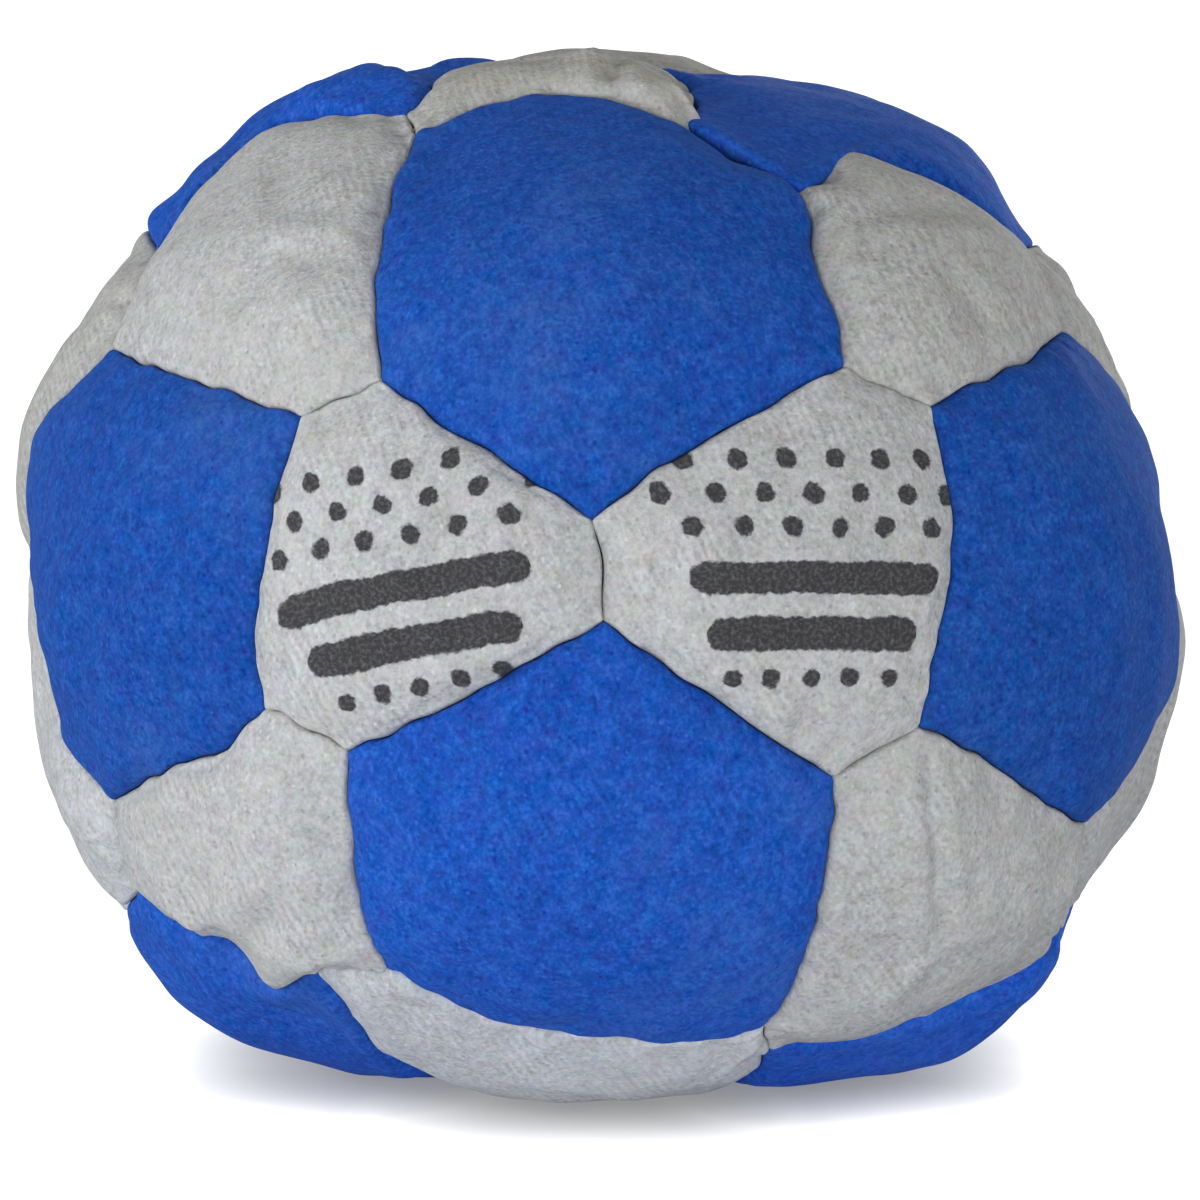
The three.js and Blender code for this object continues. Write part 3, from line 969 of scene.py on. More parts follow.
# Pulls that give the whole bag its uneven outline, and fold its top over at the right.
GRABS: tuple[Grab, ...] = (
    Grab((-14.2, -5.7, 39.8), 7.5, (-0.3, 4.0, 1.2)),
    Grab((-7.5, 4.6, 43.7), 4.5, (0.0, -0.2, -1.1)),
    Grab((-9.3, 4.6, 43.5), 6.0, (0.0, -0.1, -0.4)),
    Grab((-1.7, -9.7, 42.3), 9.0, (-0.2, 3.1, 1.0)),
    Grab((-4.9, -0.5, 43.7), 6.0, (-2.0, -0.3, -0.3)),
    Grab((6.3, -4.8, 42.4), 5.0, (-1.9, -1.9, 0.1)),
    Grab((-23.1, 2.1, 32.9), 6.0, (0.7, -0.1, -0.4)),
    Grab((-23.5, -5.8, 28.1), 5.0, (-0.7, 1.7, 0.1)),
    Grab((19.2, 0.4, 34.8), 3.0, (0.6, 0.0, 0.3)),
    Grab((22.4, -0.3, 30.6), 5.0, (-0.4, 0.0, -0.1)),
    Grab((21.9, -5.3, 29.8), 6.0, (1.1, 2.2, -0.2)),
    Grab((24.0, -6.7, 11.8), 9.0, (-1.8, 0.2, 1.1)),
    Grab((25.4, -2.6, 16.4), 6.0, (-0.4, 0.0, 0.2)),
    Grab((18.3, -10.2, 5.9), 5.0, (0.5, -0.1, -0.5)),
    Grab((-9.0, -18.8, 6.3), 6.0, (0.0, -1.7, 1.8)),
    Grab((-11.4, -14.0, 4.0), 5.0, (-0.1, -1.7, 1.2)),
    Grab((-17.2, -8.5, 4.1), 7.0, (-0.4, -0.1, -0.5)),
    Grab((-16.9, -13.0, 7.0), 5.0, (0.1, -1.8, 1.3)),
    Grab((-4.1, 4.6, 43.4), 6.0, (-2.5, 0.4, -0.3)),
    Grab((-7.0, 0.7, 43.7), 4.0, (-0.3, -0.2, -0.9)),
    Grab((23.1, -5.5, 15.0), 6.0, (0.8, 1.6, -0.2)),
    Grab((-11.9, -16.5, 5.8), 5.0, (-0.1, -1.5, 1.2)),
    Grab((-11.0, -18.5, 6.8), 3.0, (-0.4, -0.5, 0.8)),
    Grab((-15.8, -16.5, 7.7), 2.5, (0.0, 0.2, 0.9)),
    Grab((-2.3, -19.1, 4.8), 8.0, (0.0, -0.6, 0.5)),
    Grab((-15.6, -19.4, 17.7), 3.5, (0.0, 0.1, -0.7)),
    Grab((-13.9, -20.8, 22.5), 3.5, (-0.5, 0.3, -0.3)),
    Grab((22.6, -1.1, 29.9), 5.0, (0.9, 2.0, 0.1)),
    Grab((23.0, -2.6, 29.8), 5.0, (-0.5, 0.0, -0.1)),
    Grab((0.0, -24.6, 26.4), 2.5, (0.3, 0.0, 0.0)),
    Grab((14.0, -20.4, 26.3), 5.0, (0.4, 0.2, -0.2)),
    Grab((1.6, -9.8, 42.3), 5.0, (0.0, 0.9, 0.3)),
    Grab((2.7, 6.2, 43.3), 5.0, (0.0, -0.1, -0.3)),
    Grab((-22.9, -1.8, 32.7), 5.0, (0.3, 0.0, -0.3)),
    Grab((-15.8, 0.2, 40.9), 4.0, (0.5, -0.1, -0.6)),
    Grab((-19.2, 0.4, 36.4), 2.5, (-0.5, 0.0, 0.3)),
    Grab((15.1, -7.8, 2.2), 6.0, (0.4, -0.1, -0.6)),
    Grab((19.0, -12.6, 7.3), 4.0, (0.2, -1.1, 1.1)),
    Grab((7.9, -15.9, 3.6), 4.0, (-0.7, -1.4, 0.6)),
    Grab((23.1, -8.0, 16.9), 5.0, (0.8, 1.8, -0.9)),
    Grab((21.9, -11.0, 15.0), 4.0, (0.6, 1.1, -0.4)),
    Grab((23.7, 0.5, 29.6), 4.0, (-1.0, -0.1, -0.3)),
    Grab((23.8, 1.2, 27.5), 4.0, (-0.4, 0.0, -0.2)),
    Grab((0.9, -10.4, 0.2), 8.0, (0.0, 0.1, 0.4)),
    Grab((-24.5, -4.6, 16.6), 5.0, (0.5, 0.0, 0.1)),
    Grab((-23.8, -4.9, 11.4), 5.0, (0.8, 0.0, 0.1)),
    Grab((-22.2, -5.2, 8.6), 3.0, (0.5, 0.0, -0.2)),
    Grab((-24.7, -3.0, 22.3), 4.0, (-0.2, 0.0, 0.0)),
    Grab((-22.3, -10.5, 15.5), 3.0, (-0.5, 1.1, -0.1)),
    Grab((-15.4, -14.6, 6.9), 2.4, (-0.4, 0.2, 1.1)),
    Grab((-14.1, -15.1, 6.3), 2.2, (-0.2, -0.1, -0.6)),
    Grab((-19.4, -11.7, 8.8), 2.0, (-0.1, 0.1, 0.6)),
    Grab((-20.9, -6.5, 7.9), 2.0, (0.4, 0.1, 0.5)),
    Grab((-22.5, -8.9, 10.8), 2.5, (0.4, 0.0, 0.0)),
    Grab((-24.5, -0.2, 16.1), 2.5, (0.3, 0.0, 0.0)),
    Grab((22.2, -0.9, 31.7), 3.2, (-0.6, 0.0, -0.3)),
    Grab((22.4, -2.5, 30.5), 3.0, (-0.3, 0.0, -0.1)),
    Grab((8.7, 1.7, 42.6), 9.0, (0.0, -0.1, -0.4)),
    Grab((4.1, -1.9, 43.1), 2.6, (-0.5, 0.0, -0.1)),
    Grab((6.8, -8.2, 41.8), 7.5, (0.5, -3.0, -0.5), ("blue_top_right",)),
    Grab((7.7, -11.2, 41.1), 4.0, (0.6, -1.3, -0.9), ("blue_top_right",)),
    Grab((4.8, -8.5, 42.0), 3.5, (-0.75, -0.4, 0.0), ("blue_top_right",)),
    Grab((8.0, -10.6, 40.9), 4.0, (-0.1, 0.3, -1.3), ("grey_front_upper_right",)),
    Grab((5.9, -9.4, 41.6), 3.6, (-0.1, 0.2, -1.1), ("grey_top_front",)),
    Grab((7.5, -14.2, 39.3), 4.2, (0.9, 1.0, 0.3), ("blue_front_top", "grey_front_upper_right")),
    Grab((4.8, -8.2, 42.2), 2.8, (-0.1, -0.2, -0.8), ("grey_top_front",)),
)

# Creases and soft dents, each on one panel.
DENTS: tuple[Dent, ...] = (
    Dent(
        (
            (13.1, -21.8, 18.0), (13.4, -21.8, 16.4), (13.7, -21.6, 14.8), (13.9, -21.3, 13.3),
            (14.0, -20.8, 11.7), (14.3, -19.9, 9.7), (14.4, -18.5, 7.8),
        ),
        0.42, 0.42, ("grey_front_lower_right",), 0.35,
    ),
    Dent(
        ((7.7, -24.1, 18.6), (8.1, -24.1, 19.0), (8.4, -24.2, 19.7), (8.7, -24.4, 20.7)),
        0.45, 0.50, ("grey_front_right",), 0.3,
    ),
    Dent(
        (
            (-8.2, -20.5, 32.7), (-6.4, -21.0, 33.8), (-4.1, -21.0, 35.2), (-1.9, -20.6, 36.6),
            (1.1, -20.0, 37.4),
        ),
        0.22, 2.0, ("blue_front_top",), 0.25,
    ),
    Dent(
        ((-0.5, -0.1, 43.9), (0.5, -4.3, 43.9), (0.4, -6.8, 43.4), (1.5, -7.5, 43.0)),
        0.45, 0.45, ("grey_top_front",), 0.4,
    ),
    Dent(
        (
            (-22.5, -12.6, 19.3), (-21.6, -14.7, 21.4), (-20.2, -16.5, 23.8),
            (-18.8, -17.5, 25.5), (-17.7, -17.9, 27.0), (-16.6, -18.3, 28.0),
        ),
        0.35, 1.1, ("blue_left_front",), 0.3,
    ),
    Dent(
        ((10.3, -18.4, 34.7), (11.4, -18.7, 33.9), (12.9, -18.5, 32.9)),
        0.25, 1.3, ("grey_front_upper_right",), 0.2,
    ),
    Dent(
        ((-19.3, -10.5, 33.6), (-16.5, -14.4, 33.6), (-13.4, -17.9, 33.2), (-10.8, -19.3, 33.1)),
        0.22, 1.6, ("grey_front_upper_left",), 0.2,
    ),
    Dent(
        ((-15.7, -19.8, 14.0), (-16.3, -18.9, 12.0), (-16.8, -16.7, 9.4)),
        0.25, 0.7, ("grey_front_lower_left",), 0.3,
    ),
    Dent(
        ((-12.5, -21.6, 14.3), (-13.3, -20.8, 11.9), (-14.3, -19.2, 9.4), (-15.0, -15.7, 7.2)),
        0.22, 0.6, ("grey_front_lower_left",), 0.3,
    ),
    Dent(
        ((14.9, -19.1, 29.1), (16.9, -18.8, 26.9), (18.8, -18.3, 23.4), (20.4, -16.3, 19.1)),
        0.22, 1.5, ("blue_right_front",), 0.2,
    ),
    Dent(
        ((-7.1, -24.2, 17.8), (-3.3, -25.5, 18.9), (-0.2, -25.6, 20.6), (2.0, -25.4, 21.0)),
        0.12, 1.5, ("blue_front_bottom",), 0.2,
    ),
)


@dataclass(frozen=True)
class Shaping:
    """All shaping of the sewn bag, laid alike on panels, threads and sand.

    The stitches follow the seams of the net. Where the bag stands, its panels settle on the
    floor, with a rounding of the given size at the rim of the flat part.
    """

    net: SeamNet
    uneven: tuple[Unevenness, ...] = (
        Unevenness(9 * MM, 0.10 * MM, 11),
        Unevenness(3.0 * MM, 0.055 * MM, 23),
    )
    stitches: StitchPull = StitchPull()
    grabs: tuple[Grab, ...] = GRABS
    dents: tuple[Dent, ...] = DENTS
    settling: float = 0.06 * MM
    seam_shade: float = 3 * MM
    lot_spread: float = 0.6

    def everywhere(self, places: np.ndarray, place_key: str = "") -> np.ndarray:
        """Moves places with all pulls and the bag's unevenness.

        Args:
            places: The places, one to a row.
            place_key: The panel that they are on, for the pulls on some panels alone.

        Returns:
            The moved places.
        """
        moved = places.copy()
        for grab in self.grabs:
            if not grab.panels or place_key in grab.panels:
                moved += grab.shift(moved)
        for wave in self.uneven:
            moved += wave.shift(places)
        return moved

    def tone_and_painted_light(self, place_key: str) -> float:
        """How far a panel is darker or lighter: the listed tones, where painted light joins the
        dye, and elsewhere a small chance value of dye.

        Args:
            place_key: The panel's suede and place.

        Returns:
            A value below nought where the panel is darker, and above it where it is lighter.
        """
        chance = np.random.default_rng(sum(place_key.encode()))
        return TONES_AND_PAINTED_LIGHT.get(place_key, chance.uniform(-self.lot_spread, self.lot_spread))

    def shape_panel(self, panel: SuedePanel) -> None:
        """Shapes a panel, and keeps its tone, partly dye and partly painted light, and each
        vertex's distance from the seams.

        Args:
            panel: The panel, turned in and not yet thickened.
        """
        places = positions_of(panel.piece)
        up = self.net.form.up(places)
        key = panel.outline.place_key
        seams = [seam for seam in self.net.seams.values() if key in seam.places]
        moves, distance = self.stitches.shift(places, up, seams)
        places = self.everywhere(places + moves, key)
        for dent in self.dents:
            if key in dent.panels:
                places += dent.shift(places, up)
        places[:, 2] = self.settling * np.logaddexp(0, places[:, 2] / self.settling)
        move_to(panel.piece, places)
        keep_values(panel.piece, "seam", np.clip(distance / self.seam_shade, 0, 1))
        keep_values(panel.piece, "tone_light", np.full(len(places), self.tone_and_painted_light(key)))


@dataclass(frozen=True)
class ThreadLay:
    """How the sewing thread is twisted and laid, how deep, and round which panel first.

    A length stops an end gap short of the thread that it meets.
    """

    diameter: float = 0.4 * MM
    depth: float = 1.75 * MM
    twist: float = 1.1 * MM
    step: float = 0.16 * MM
    fewest_steps: int = 6
    plies: int = 3
    lobe: float = 0.20
    points_a_ply: int = 4
    end_gap: float = 0.55 * MM
    long_samples: int = 60
    short_samples: int = 30
    order: tuple[str, ...] = (
        "front_top",
        "front_bottom",
        "left_front",
        "right_front",
        "top_left",
        "top_right",
        "bottom_left",
        "bottom_right",
        "left_back",
        "right_back",
        "back_bottom",
        "back_top",
    )


class SewingThread:
    """The lengths of twisted thread that close the seams round each blue panel."""

    def __init__(self, net: SeamNet, cut: PanelCut, lay: ThreadLay) -> None:
        """Takes the net and puts the blue panels in the order of sewing.

        Args:
            net: The net of seams.
            cut: How the panels are cut.
            lay: How the thread is laid.
        """
        self.net = net
        self.cut = cut
        self.lay = lay
        blues = [o for o in net.outlines if o.suede is Suede.BLUE]
        self.blues = sorted(blues, key=lambda o: lay.order.index(o.place))

    def _sunk(self, line: np.ndarray) -> np.ndarray:
        """A seam's line sunk to the thread's depth."""
        return line - (self.lay.depth - self.cut.fold_level) * self.net.form.up(line)

    def ways(self, outline: Outline) -> list[tuple[np.ndarray, bool]]:
        """The lines of one length: its closed round, and its runs along the grey seams.

        Args:
            outline: The blue panel that it goes round.

        Returns:
            Each line, and whether it is closed.
        """
        marks = np.linspace(0, 1, self.lay.long_samples)
        sides = [self.net.side(outline, k, marks)[:-1] for k in range(len(outline.junctions))]
        ways = [(self._sunk(np.vstack(sides)), True)]
        own = set(outline.junctions)
        later = {
            junction
            for other in self.blues[self.blues.index(outline) + 1 :]
            for junction in other.junctions
        }
        for ends, seam in self.net.seams.items():
            if len(ends & own) == 1 and ends & later:
                (start,) = ends & own
                line = self._sunk(seam.run(start, np.linspace(0, 1, self.lay.short_samples)))
                left = np.linalg.norm(line - line[-1], axis=1)
                ways.append((line[left > self.lay.end_gap + self.lay.diameter / 2], False))
        return ways

    def _section(self) -> bpy.types.Object:
        """Draws the thread's section, with one lobe for each ply.

        Returns:
            The section as a closed curve.
        """
        section = bpy.data.curves.new("thread_section", "CURVE")
        spline = section.splines.new("POLY")
        corners = self.lay.plies * self.lay.points_a_ply
        spline.points.add(corners - 1)
        spline.use_cyclic_u = True
        for k, point in enumerate(spline.points):
            angle = 2 * math.pi * k / corners
            bulge = 1 - self.lay.lobe + self.lay.lobe * math.cos(self.lay.plies * angle)
            radius = bulge * self.lay.diameter / 2
            point.co = (radius * math.cos(angle), radius * math.sin(angle), 0, 1)
        profile = bpy.data.objects.new("thread_section", section)
        bpy.context.collection.objects.link(profile)
        return profile

    def spin(self, outline: Outline, shaping: Shaping) -> bpy.types.Object:
        """Spins one length of thread as a mesh.

        Args:
            outline: The blue panel that it goes round.
            shaping: The shaping that the bag is given.

        Returns:
            The thread's piece.
        """
        lay = self.lay
        profile = self._section()
        way = bpy.data.curves.new("thread_way", "CURVE")
        way.dimensions = "3D"
        way.twist_mode = "MINIMUM"
        way.bevel_mode = "OBJECT"
        way.bevel_object = profile
        way.use_fill_caps = True
        for line, closed in self.ways(outline):
            line = shaping.everywhere(line)
            length = np.linalg.norm(np.diff(line, axis=0), axis=1).sum()
            if closed:
                line = np.vstack([line, line[:1]])
            count = max(lay.fewest_steps, round(length / lay.step))
            line = smooth_run(line, np.linspace(0, 1, count + 1))
            if closed:
                line = line[:-1]
            run = way.splines.new("POLY")
            run.points.add(len(line) - 1)
            run.use_cyclic_u = closed
            turns = round(length / lay.twist)
            for k, point in enumerate(line):
                run.points[k].co = (*point, 1)
                run.points[k].tilt = 2 * math.pi * turns * k / count
        piece = bpy.data.objects.new(f"sewing_thread_{outline.place}", way)
        bpy.context.collection.objects.link(piece)
        select_only(piece)
        bpy.ops.object.convert(target="MESH")
        piece = bpy.context.object
        piece.data.name = piece.name
        bpy.data.objects.remove(profile)
        bpy.ops.object.shade_smooth()
        return piece


@dataclass(frozen=True)
class SandFill:
    """The loose sand that fills the lower three quarters of the bag.

    Its surface is sunk by the clear distance, and further by chance, up to a grain.
    """

    voxel: float = 0.75 * MM
    clear: float = 0.14 * MM
    grain: float = 0.10 * MM
    seed: int = 5

    def pour(self, shaping: Shaping) -> bpy.types.Object:
        """Fills the node's space with a grainy heap of sand.

        Args:
            shaping: The shaping that the bag is given.

        Returns:
            The sand's piece.
        """
        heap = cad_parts[SAND_NODE].copy()
        heap.data = heap.data.copy()
        heap.parent = None
        for key in [key for key in heap.keys() if key.startswith("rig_")]:
            del heap[key]
        heap.name = heap.data.name = "loose_sand"
        bpy.context.collection.objects.link(heap)
        select_only(heap)
        bpy.ops.object.mode_set(mode="EDIT")
        bpy.ops.mesh.select_all(action="SELECT")
        bpy.ops.mesh.remove_doubles(threshold=WELD)
        bpy.ops.object.mode_set(mode="OBJECT")
        apply_modifier(heap, "REMESH", mode="VOXEL", voxel_size=self.voxel)
        places = positions_of(heap)
        normals = np.empty(len(places) * 3)
        heap.data.vertices.foreach_get("normal", normals)
        chance = np.random.default_rng(self.seed)
        sink = self.clear + self.grain * chance.random(len(places))
        places -= normals.reshape(-1, 3) * sink[:, None]
        move_to(heap, shaping.everywhere(places))
        select_only(heap)
        bpy.ops.object.shade_smooth()
        return heap


@dataclass(frozen=True)
class NodeBoard:
    """A node tree on which nodes are put and joined in few words."""

    tree: bpy.types.NodeTree

    @property
    def shader(self) -> bpy.types.Node:
        """The Principled BSDF that a new material starts with."""
        return self.tree.nodes["Principled BSDF"]

    def feed(self, node: bpy.types.Node, inputs: dict) -> None:
        """Sets a node's inputs.

        Args:
            node: The node.
            inputs: Values or output sockets for its inputs, by name or number.
        """
        for name, value in inputs.items():
            if isinstance(value, bpy.types.NodeSocket):
                self.tree.links.new(value, node.inputs[name])
            else:
                node.inputs[name].default_value = value

    def put(self, kind: str, inputs: dict | None = None, **settings: object) -> bpy.types.Node:
        """Adds a node.

        Args:
            kind: The node's type name, without its ShaderNode.
            inputs: Values or output sockets for its inputs, by name or number.
            settings: Its other settings, by their names in Blender.

        Returns:
            The node.
        """
        node = self.tree.nodes.new(kind if kind.startswith("Node") else f"ShaderNode{kind}")
        for setting, value in settings.items():
            setattr(node, setting, value)
        self.feed(node, inputs or {})
        return node

    def sum_up(self, kind: str, *values: object) -> bpy.types.NodeSocket:
        """One arithmetic step, such as MULTIPLY, on values or output sockets."""
        return self.put("Math", dict(enumerate(values)), operation=kind).outputs[0]

    def times(self, first: object, second: object) -> bpy.types.NodeSocket:
        """The product of two values or output sockets."""
        return self.sum_up("MULTIPLY", first, second)

    def plus(self, value: object, other: object, share: float = 1.0) -> bpy.types.NodeSocket:
        """A value plus another one, or plus a share of it."""
        return self.sum_up("ADD", value, other if share == 1.0 else self.times(other, share))

    def less(self, first: object, second: object) -> bpy.types.NodeSocket:
        """The first value less the second."""
        return self.sum_up("SUBTRACT", first, second)

    def blend(self, share: object, first: object, second: object) -> bpy.types.NodeSocket:
        """A colour between two colours, at a share of the way."""
        inputs = {0: share, 6: first, 7: second}
        return self.put("Mix", inputs, data_type="RGBA").outputs[2]

    def levels(self, value: object, *ends: float) -> bpy.types.NodeSocket:
        """A value mapped from its range, the first two ends, to that of the next two."""
        return self.put("MapRange", {0: value, **dict(enumerate(ends, 1))}).outputs[0]

    def held(self, value: object) -> bpy.types.NodeSocket:
        """A value held between nought and one."""
        return self.put("Clamp", {0: value}).outputs[0]

    def noise(self, place: object, scale: float, detail: float) -> bpy.types.NodeSocket:
        """A noise mask centred on nought."""
        inputs = {"Vector": place, "Scale": scale, "Detail": detail, "Roughness": 0.6}
        return self.less(self.put("TexNoise", inputs).outputs[0], 0.5)


def new_material(name: str) -> tuple[bpy.types.Material, NodeBoard]:
    """Makes a material with the nodes that it starts with.

    Args:
        name: Its name.

    Returns:
        The material and its board.
    """
    material = bpy.data.materials.new(name)
    material.use_nodes = True
    return material, NodeBoard(material.node_tree)


def linear(red: float, green: float, blue: float) -> tuple[float, float, float, float]:
    """Turns a screen colour into the linear colour that a shader takes.

    Args:
        red: The red, from 0 to 255.
        green: The green.
        blue: The blue.

    Returns:
        The linear colour with full alpha.
    """
    levels = [v / 255 for v in (red, green, blue)]
    parts = [v / 12.92 if v <= 0.04045 else ((v + 0.055) / 1.055) ** 2.4 for v in levels]
    return (*parts, 1.0)


@dataclass(frozen=True)
class SuedeNap:
    """The brushed nap of suede: mottled, streaked, finely speckled, dusty with painted sheen, and
    with painted shade and dirt at the seams.

    The sizes are scales of the patterns, in repeats to a metre. The nap lies flatter in one
    direction. A panel's tone, partly dye and partly painted light, shifts the colour by the given
    shares of red, green and blue. Shares say how much of one pattern is added to another, and
    pairs where a mask begins and ends.
    """

    mottle: float = 110
    shown_rows: float = 240
    patch: float = 760
    rows: float = 820
    hues: float = 1500
    streak: float = 2100
    specks: float = 2900
    grain: float = 5400
    brushing: tuple[float, float, float] = (1.0, 1.0, 0.92)
    row_slant: tuple[float, float, float] = (0.5, 0.42, 0.3)
    row_bends: float = 3.0
    rows_from: tuple[float, float] = (-0.06, 0.16)
    contrast: float = 2.2
    patch_share: float = 0.7
    streak_share: float = 0.8
    pale_specks: float = 0.16
    deep_specks: float = 0.17
    speck_edge: tuple[float, float] = (0.15, 0.33)
    dust_and_sheen_from: tuple[float, float] = (0.02, 0.20)
    dust_and_sheen_cover: float = 0.7
    dust_and_sheen_streaks: float = 1.6
    seam_until: tuple[float, float] = (0.03, 0.24)
    seam_dark_cover: float = 0.75
    seam_dark_patches: float = 2.0
    tone_light_shift: tuple[float, float, float] = (0.10, 0.115, 0.16)
    roughness: float = 0.9
    rough_share: float = 0.15
    pale_height: float = 0.3
    deep_height: float = -0.35

    def _sockets(self, group: bpy.types.NodeTree) -> None:
        """Gives the group its inputs and outputs.

        Args:
            group: The node group.
        """
        for name in SuedeFinish.COLOURS:
            socket = group.interface.new_socket(name, in_out="INPUT", socket_type="NodeSocketColor")
            socket.default_value = linear(128, 128, 128)
        for name in SuedeFinish.AMOUNTS:
            socket = group.interface.new_socket(name, in_out="INPUT", socket_type="NodeSocketFloat")
            socket.default_value = 0.5
        group.interface.new_socket("Color", in_out="OUTPUT", socket_type="NodeSocketColor")
        group.interface.new_socket("Roughness", in_out="OUTPUT", socket_type="NodeSocketFloat")
        group.interface.new_socket("Height", in_out="OUTPUT", socket_type="NodeSocketFloat")

    def _rows(self, board: NodeBoard, place: object) -> bpy.types.NodeSocket:
        """The faint rows of the suede's knitted back, which show only here and there.

        Args:
            board: The group's board.
            place: The socket of the places.

        Returns:
            The rows' mask, centred on nought.
        """
        slanted = board.put("Mapping", {"Vector": place, "Rotation": self.row_slant}).outputs[0]
        inputs = {"Vector": slanted, "Scale": self.rows, "Distortion": self.row_bends}
        inputs |= {"Detail": 2.0, "Detail Scale": 1.6}
        rows = board.less(board.put("TexWave", inputs).outputs["Fac"], 0.5)
        shown = board.levels(board.noise(place, self.shown_rows, 2), *self.rows_from)
        return board.times(rows, shown)

    def _specks(
        self, board: NodeBoard, brushed: object, strength: object
    ) -> tuple[bpy.types.NodeSocket, bpy.types.NodeSocket]:
        """The pale and the deep specks, each in a few of the nap's cells.

        Args:
            board: The group's board.
            brushed: The socket of the brushed places.
            strength: The socket of the specks' strength.

        Returns:
            The masks of the pale and of the deep specks.
        """
        inputs = {"Vector": brushed, "Scale": self.specks}
        cells = board.put("TexVoronoi", inputs, feature="F1").outputs
        dot = board.times(board.levels(cells["Distance"], *self.speck_edge, 1.0, 0.0), strength)
        chance = board.put("SeparateColor", {0: cells["Color"]}).outputs[0]
        pale = board.sum_up("GREATER_THAN", chance, 1 - self.pale_specks)
        deep = board.sum_up("LESS_THAN", chance, self.deep_specks)
        return board.times(dot, pale), board.times(dot, deep)

    def _toned_and_lit(self, board: NodeBoard, colour: object) -> bpy.types.NodeSocket:
        """A colour shifted by the panel's tone, partly dye and partly painted light.

        Args:
            board: The group's board.
            colour: The socket of the colour.

        Returns:
            The shifted colour.
        """
        tone_light = board.put("Attribute", attribute_name="tone_light").outputs["Fac"]
        inputs = {0: self.tone_light_shift, "Scale": tone_light}
        shift = board.put("VectorMath", inputs, operation="SCALE").outputs[0]
        shift = board.put("VectorMath", {0: shift, 1: (1.0, 1.0, 1.0)}, operation="ADD").outputs[0]
        inputs = {0: 1.0, 6: colour, 7: shift}
        return board.put("Mix", inputs, data_type="RGBA", blend_type="MULTIPLY").outputs[2]

    def make(self) -> bpy.types.NodeTree:
        """Makes the node group.

        Returns:
            The group, which puts out a colour, a roughness and a height.
        """
        group = bpy.data.node_groups.new("Suede nap", "ShaderNodeTree")
        self._sockets(group)
        board = NodeBoard(group)
        given = board.put("NodeGroupInput").outputs
        place = board.put("TexCoord").outputs["Object"]
        brushed = board.put("Mapping", {"Vector": place, "Scale": self.brushing}).outputs[0]
        mottle = board.noise(place, self.mottle, 3)
        patch = board.noise(brushed, self.patch, 3)
        streak = board.noise(brushed, self.streak, 2)
        grain = board.noise(brushed, self.grain, 2)
        low = board.times(board.plus(mottle, patch, self.patch_share), given["Mottle"])
        fine = board.times(board.plus(grain, streak, self.streak_share), given["Grain"])
        fine = board.plus(fine, board.times(self._rows(board, place), given["Rows"]))
        lean = board.plus(low, fine)
        raised = board.held(board.times(lean, self.contrast))
        laid = board.held(board.times(lean, -self.contrast))
        colour = board.blend(raised, given["Base"], given["Raised"])
        colour = board.blend(laid, colour, given["Laid"])
        # Dust with painted sheen: pale patches stand in for the nap's sheen as well as for dust.
        uneven = board.plus(self.dust_and_sheen_cover, streak, self.dust_and_sheen_streaks)
        dust_and_sheen_mask = board.times(board.levels(mottle, *self.dust_and_sheen_from), uneven)
        dust_and_sheen_mask = board.held(board.times(dust_and_sheen_mask, given["Dusting_and_sheen"]))
        colour = board.blend(dust_and_sheen_mask, colour, given["Dust_and_sheen"])
        pale, deep = self._specks(board, brushed, given["Specks"])
        colour = board.blend(pale, colour, given["Raised"])
        colour = board.blend(deep, colour, given["Laid"])
        hues = board.put("TexNoise", {"Vector": place, "Scale": self.hues, "Detail": 2.0})
        inputs = {0: given["Tint"], 6: colour, 7: hues.outputs["Color"]}
        tinted = board.put("Mix", inputs, data_type="RGBA", blend_type="LINEAR_LIGHT").outputs[2]
        # Painted light with dye: the panel's tone lightens the bottom panels and darkens the top
        # and sides.
        colour = self._toned_and_lit(board, tinted)
        # Painted shade with dirt: close to the seams the colour darkens towards the seam colour, in
        # patches.
        seam = board.put("Attribute", attribute_name="seam").outputs["Fac"]
        close = board.levels(seam, *self.seam_until, 1.0, 0.0)
        seam_patches = board.plus(self.seam_dark_cover, mottle, self.seam_dark_patches)
        seam_shade_and_dirt = board.times(board.held(board.times(close, seam_patches)), given["Dirt_and_shade"])
        colour = board.blend(seam_shade_and_dirt, colour, given["Seam"])
        rough = board.plus(self.roughness, lean, self.rough_share)
        height = board.plus(board.plus(fine, pale, self.pale_height), deep, self.deep_height)
        board.put("NodeGroupOutput", {"Color": colour, "Roughness": rough, "Height": height})
        return group


@dataclass(frozen=True)
class Mark:
    """One mark of the stamp in millimetres: a bar with round ends, or a row of round dots."""

    height: float
    width: float
    thick: float
    pitch: float = 0.0
    slip: float = 0.0


@dataclass(frozen=True)
class Stamp:
    """A plain pattern of dots and bars, stamped in charcoal ink on a panel.

    It is turned by degrees, and moved by millimetres from the panel's middle.
    """

    turn: float
    right: float
    ahead: float

    def lay(self, panel: SuedePanel) -> None:
        """Keeps each vertex's place under the stamp, in millimetres, as an attribute.

        Args:
            panel: The panel, turned in and not yet shaped.
        """
        flat = panel.flatten(positions_of(panel.piece)) / MM
        x, y = flat[:, 0] - self.right, flat[:, 1] - self.ahead
        angle = math.radians(self.turn)
        across = x * math.cos(angle) + y * math.sin(angle)
        along = y * math.cos(angle) - x * math.sin(angle)
        keep_values(panel.piece, "stamp", np.column_stack([across, along, np.zeros(len(x))]))


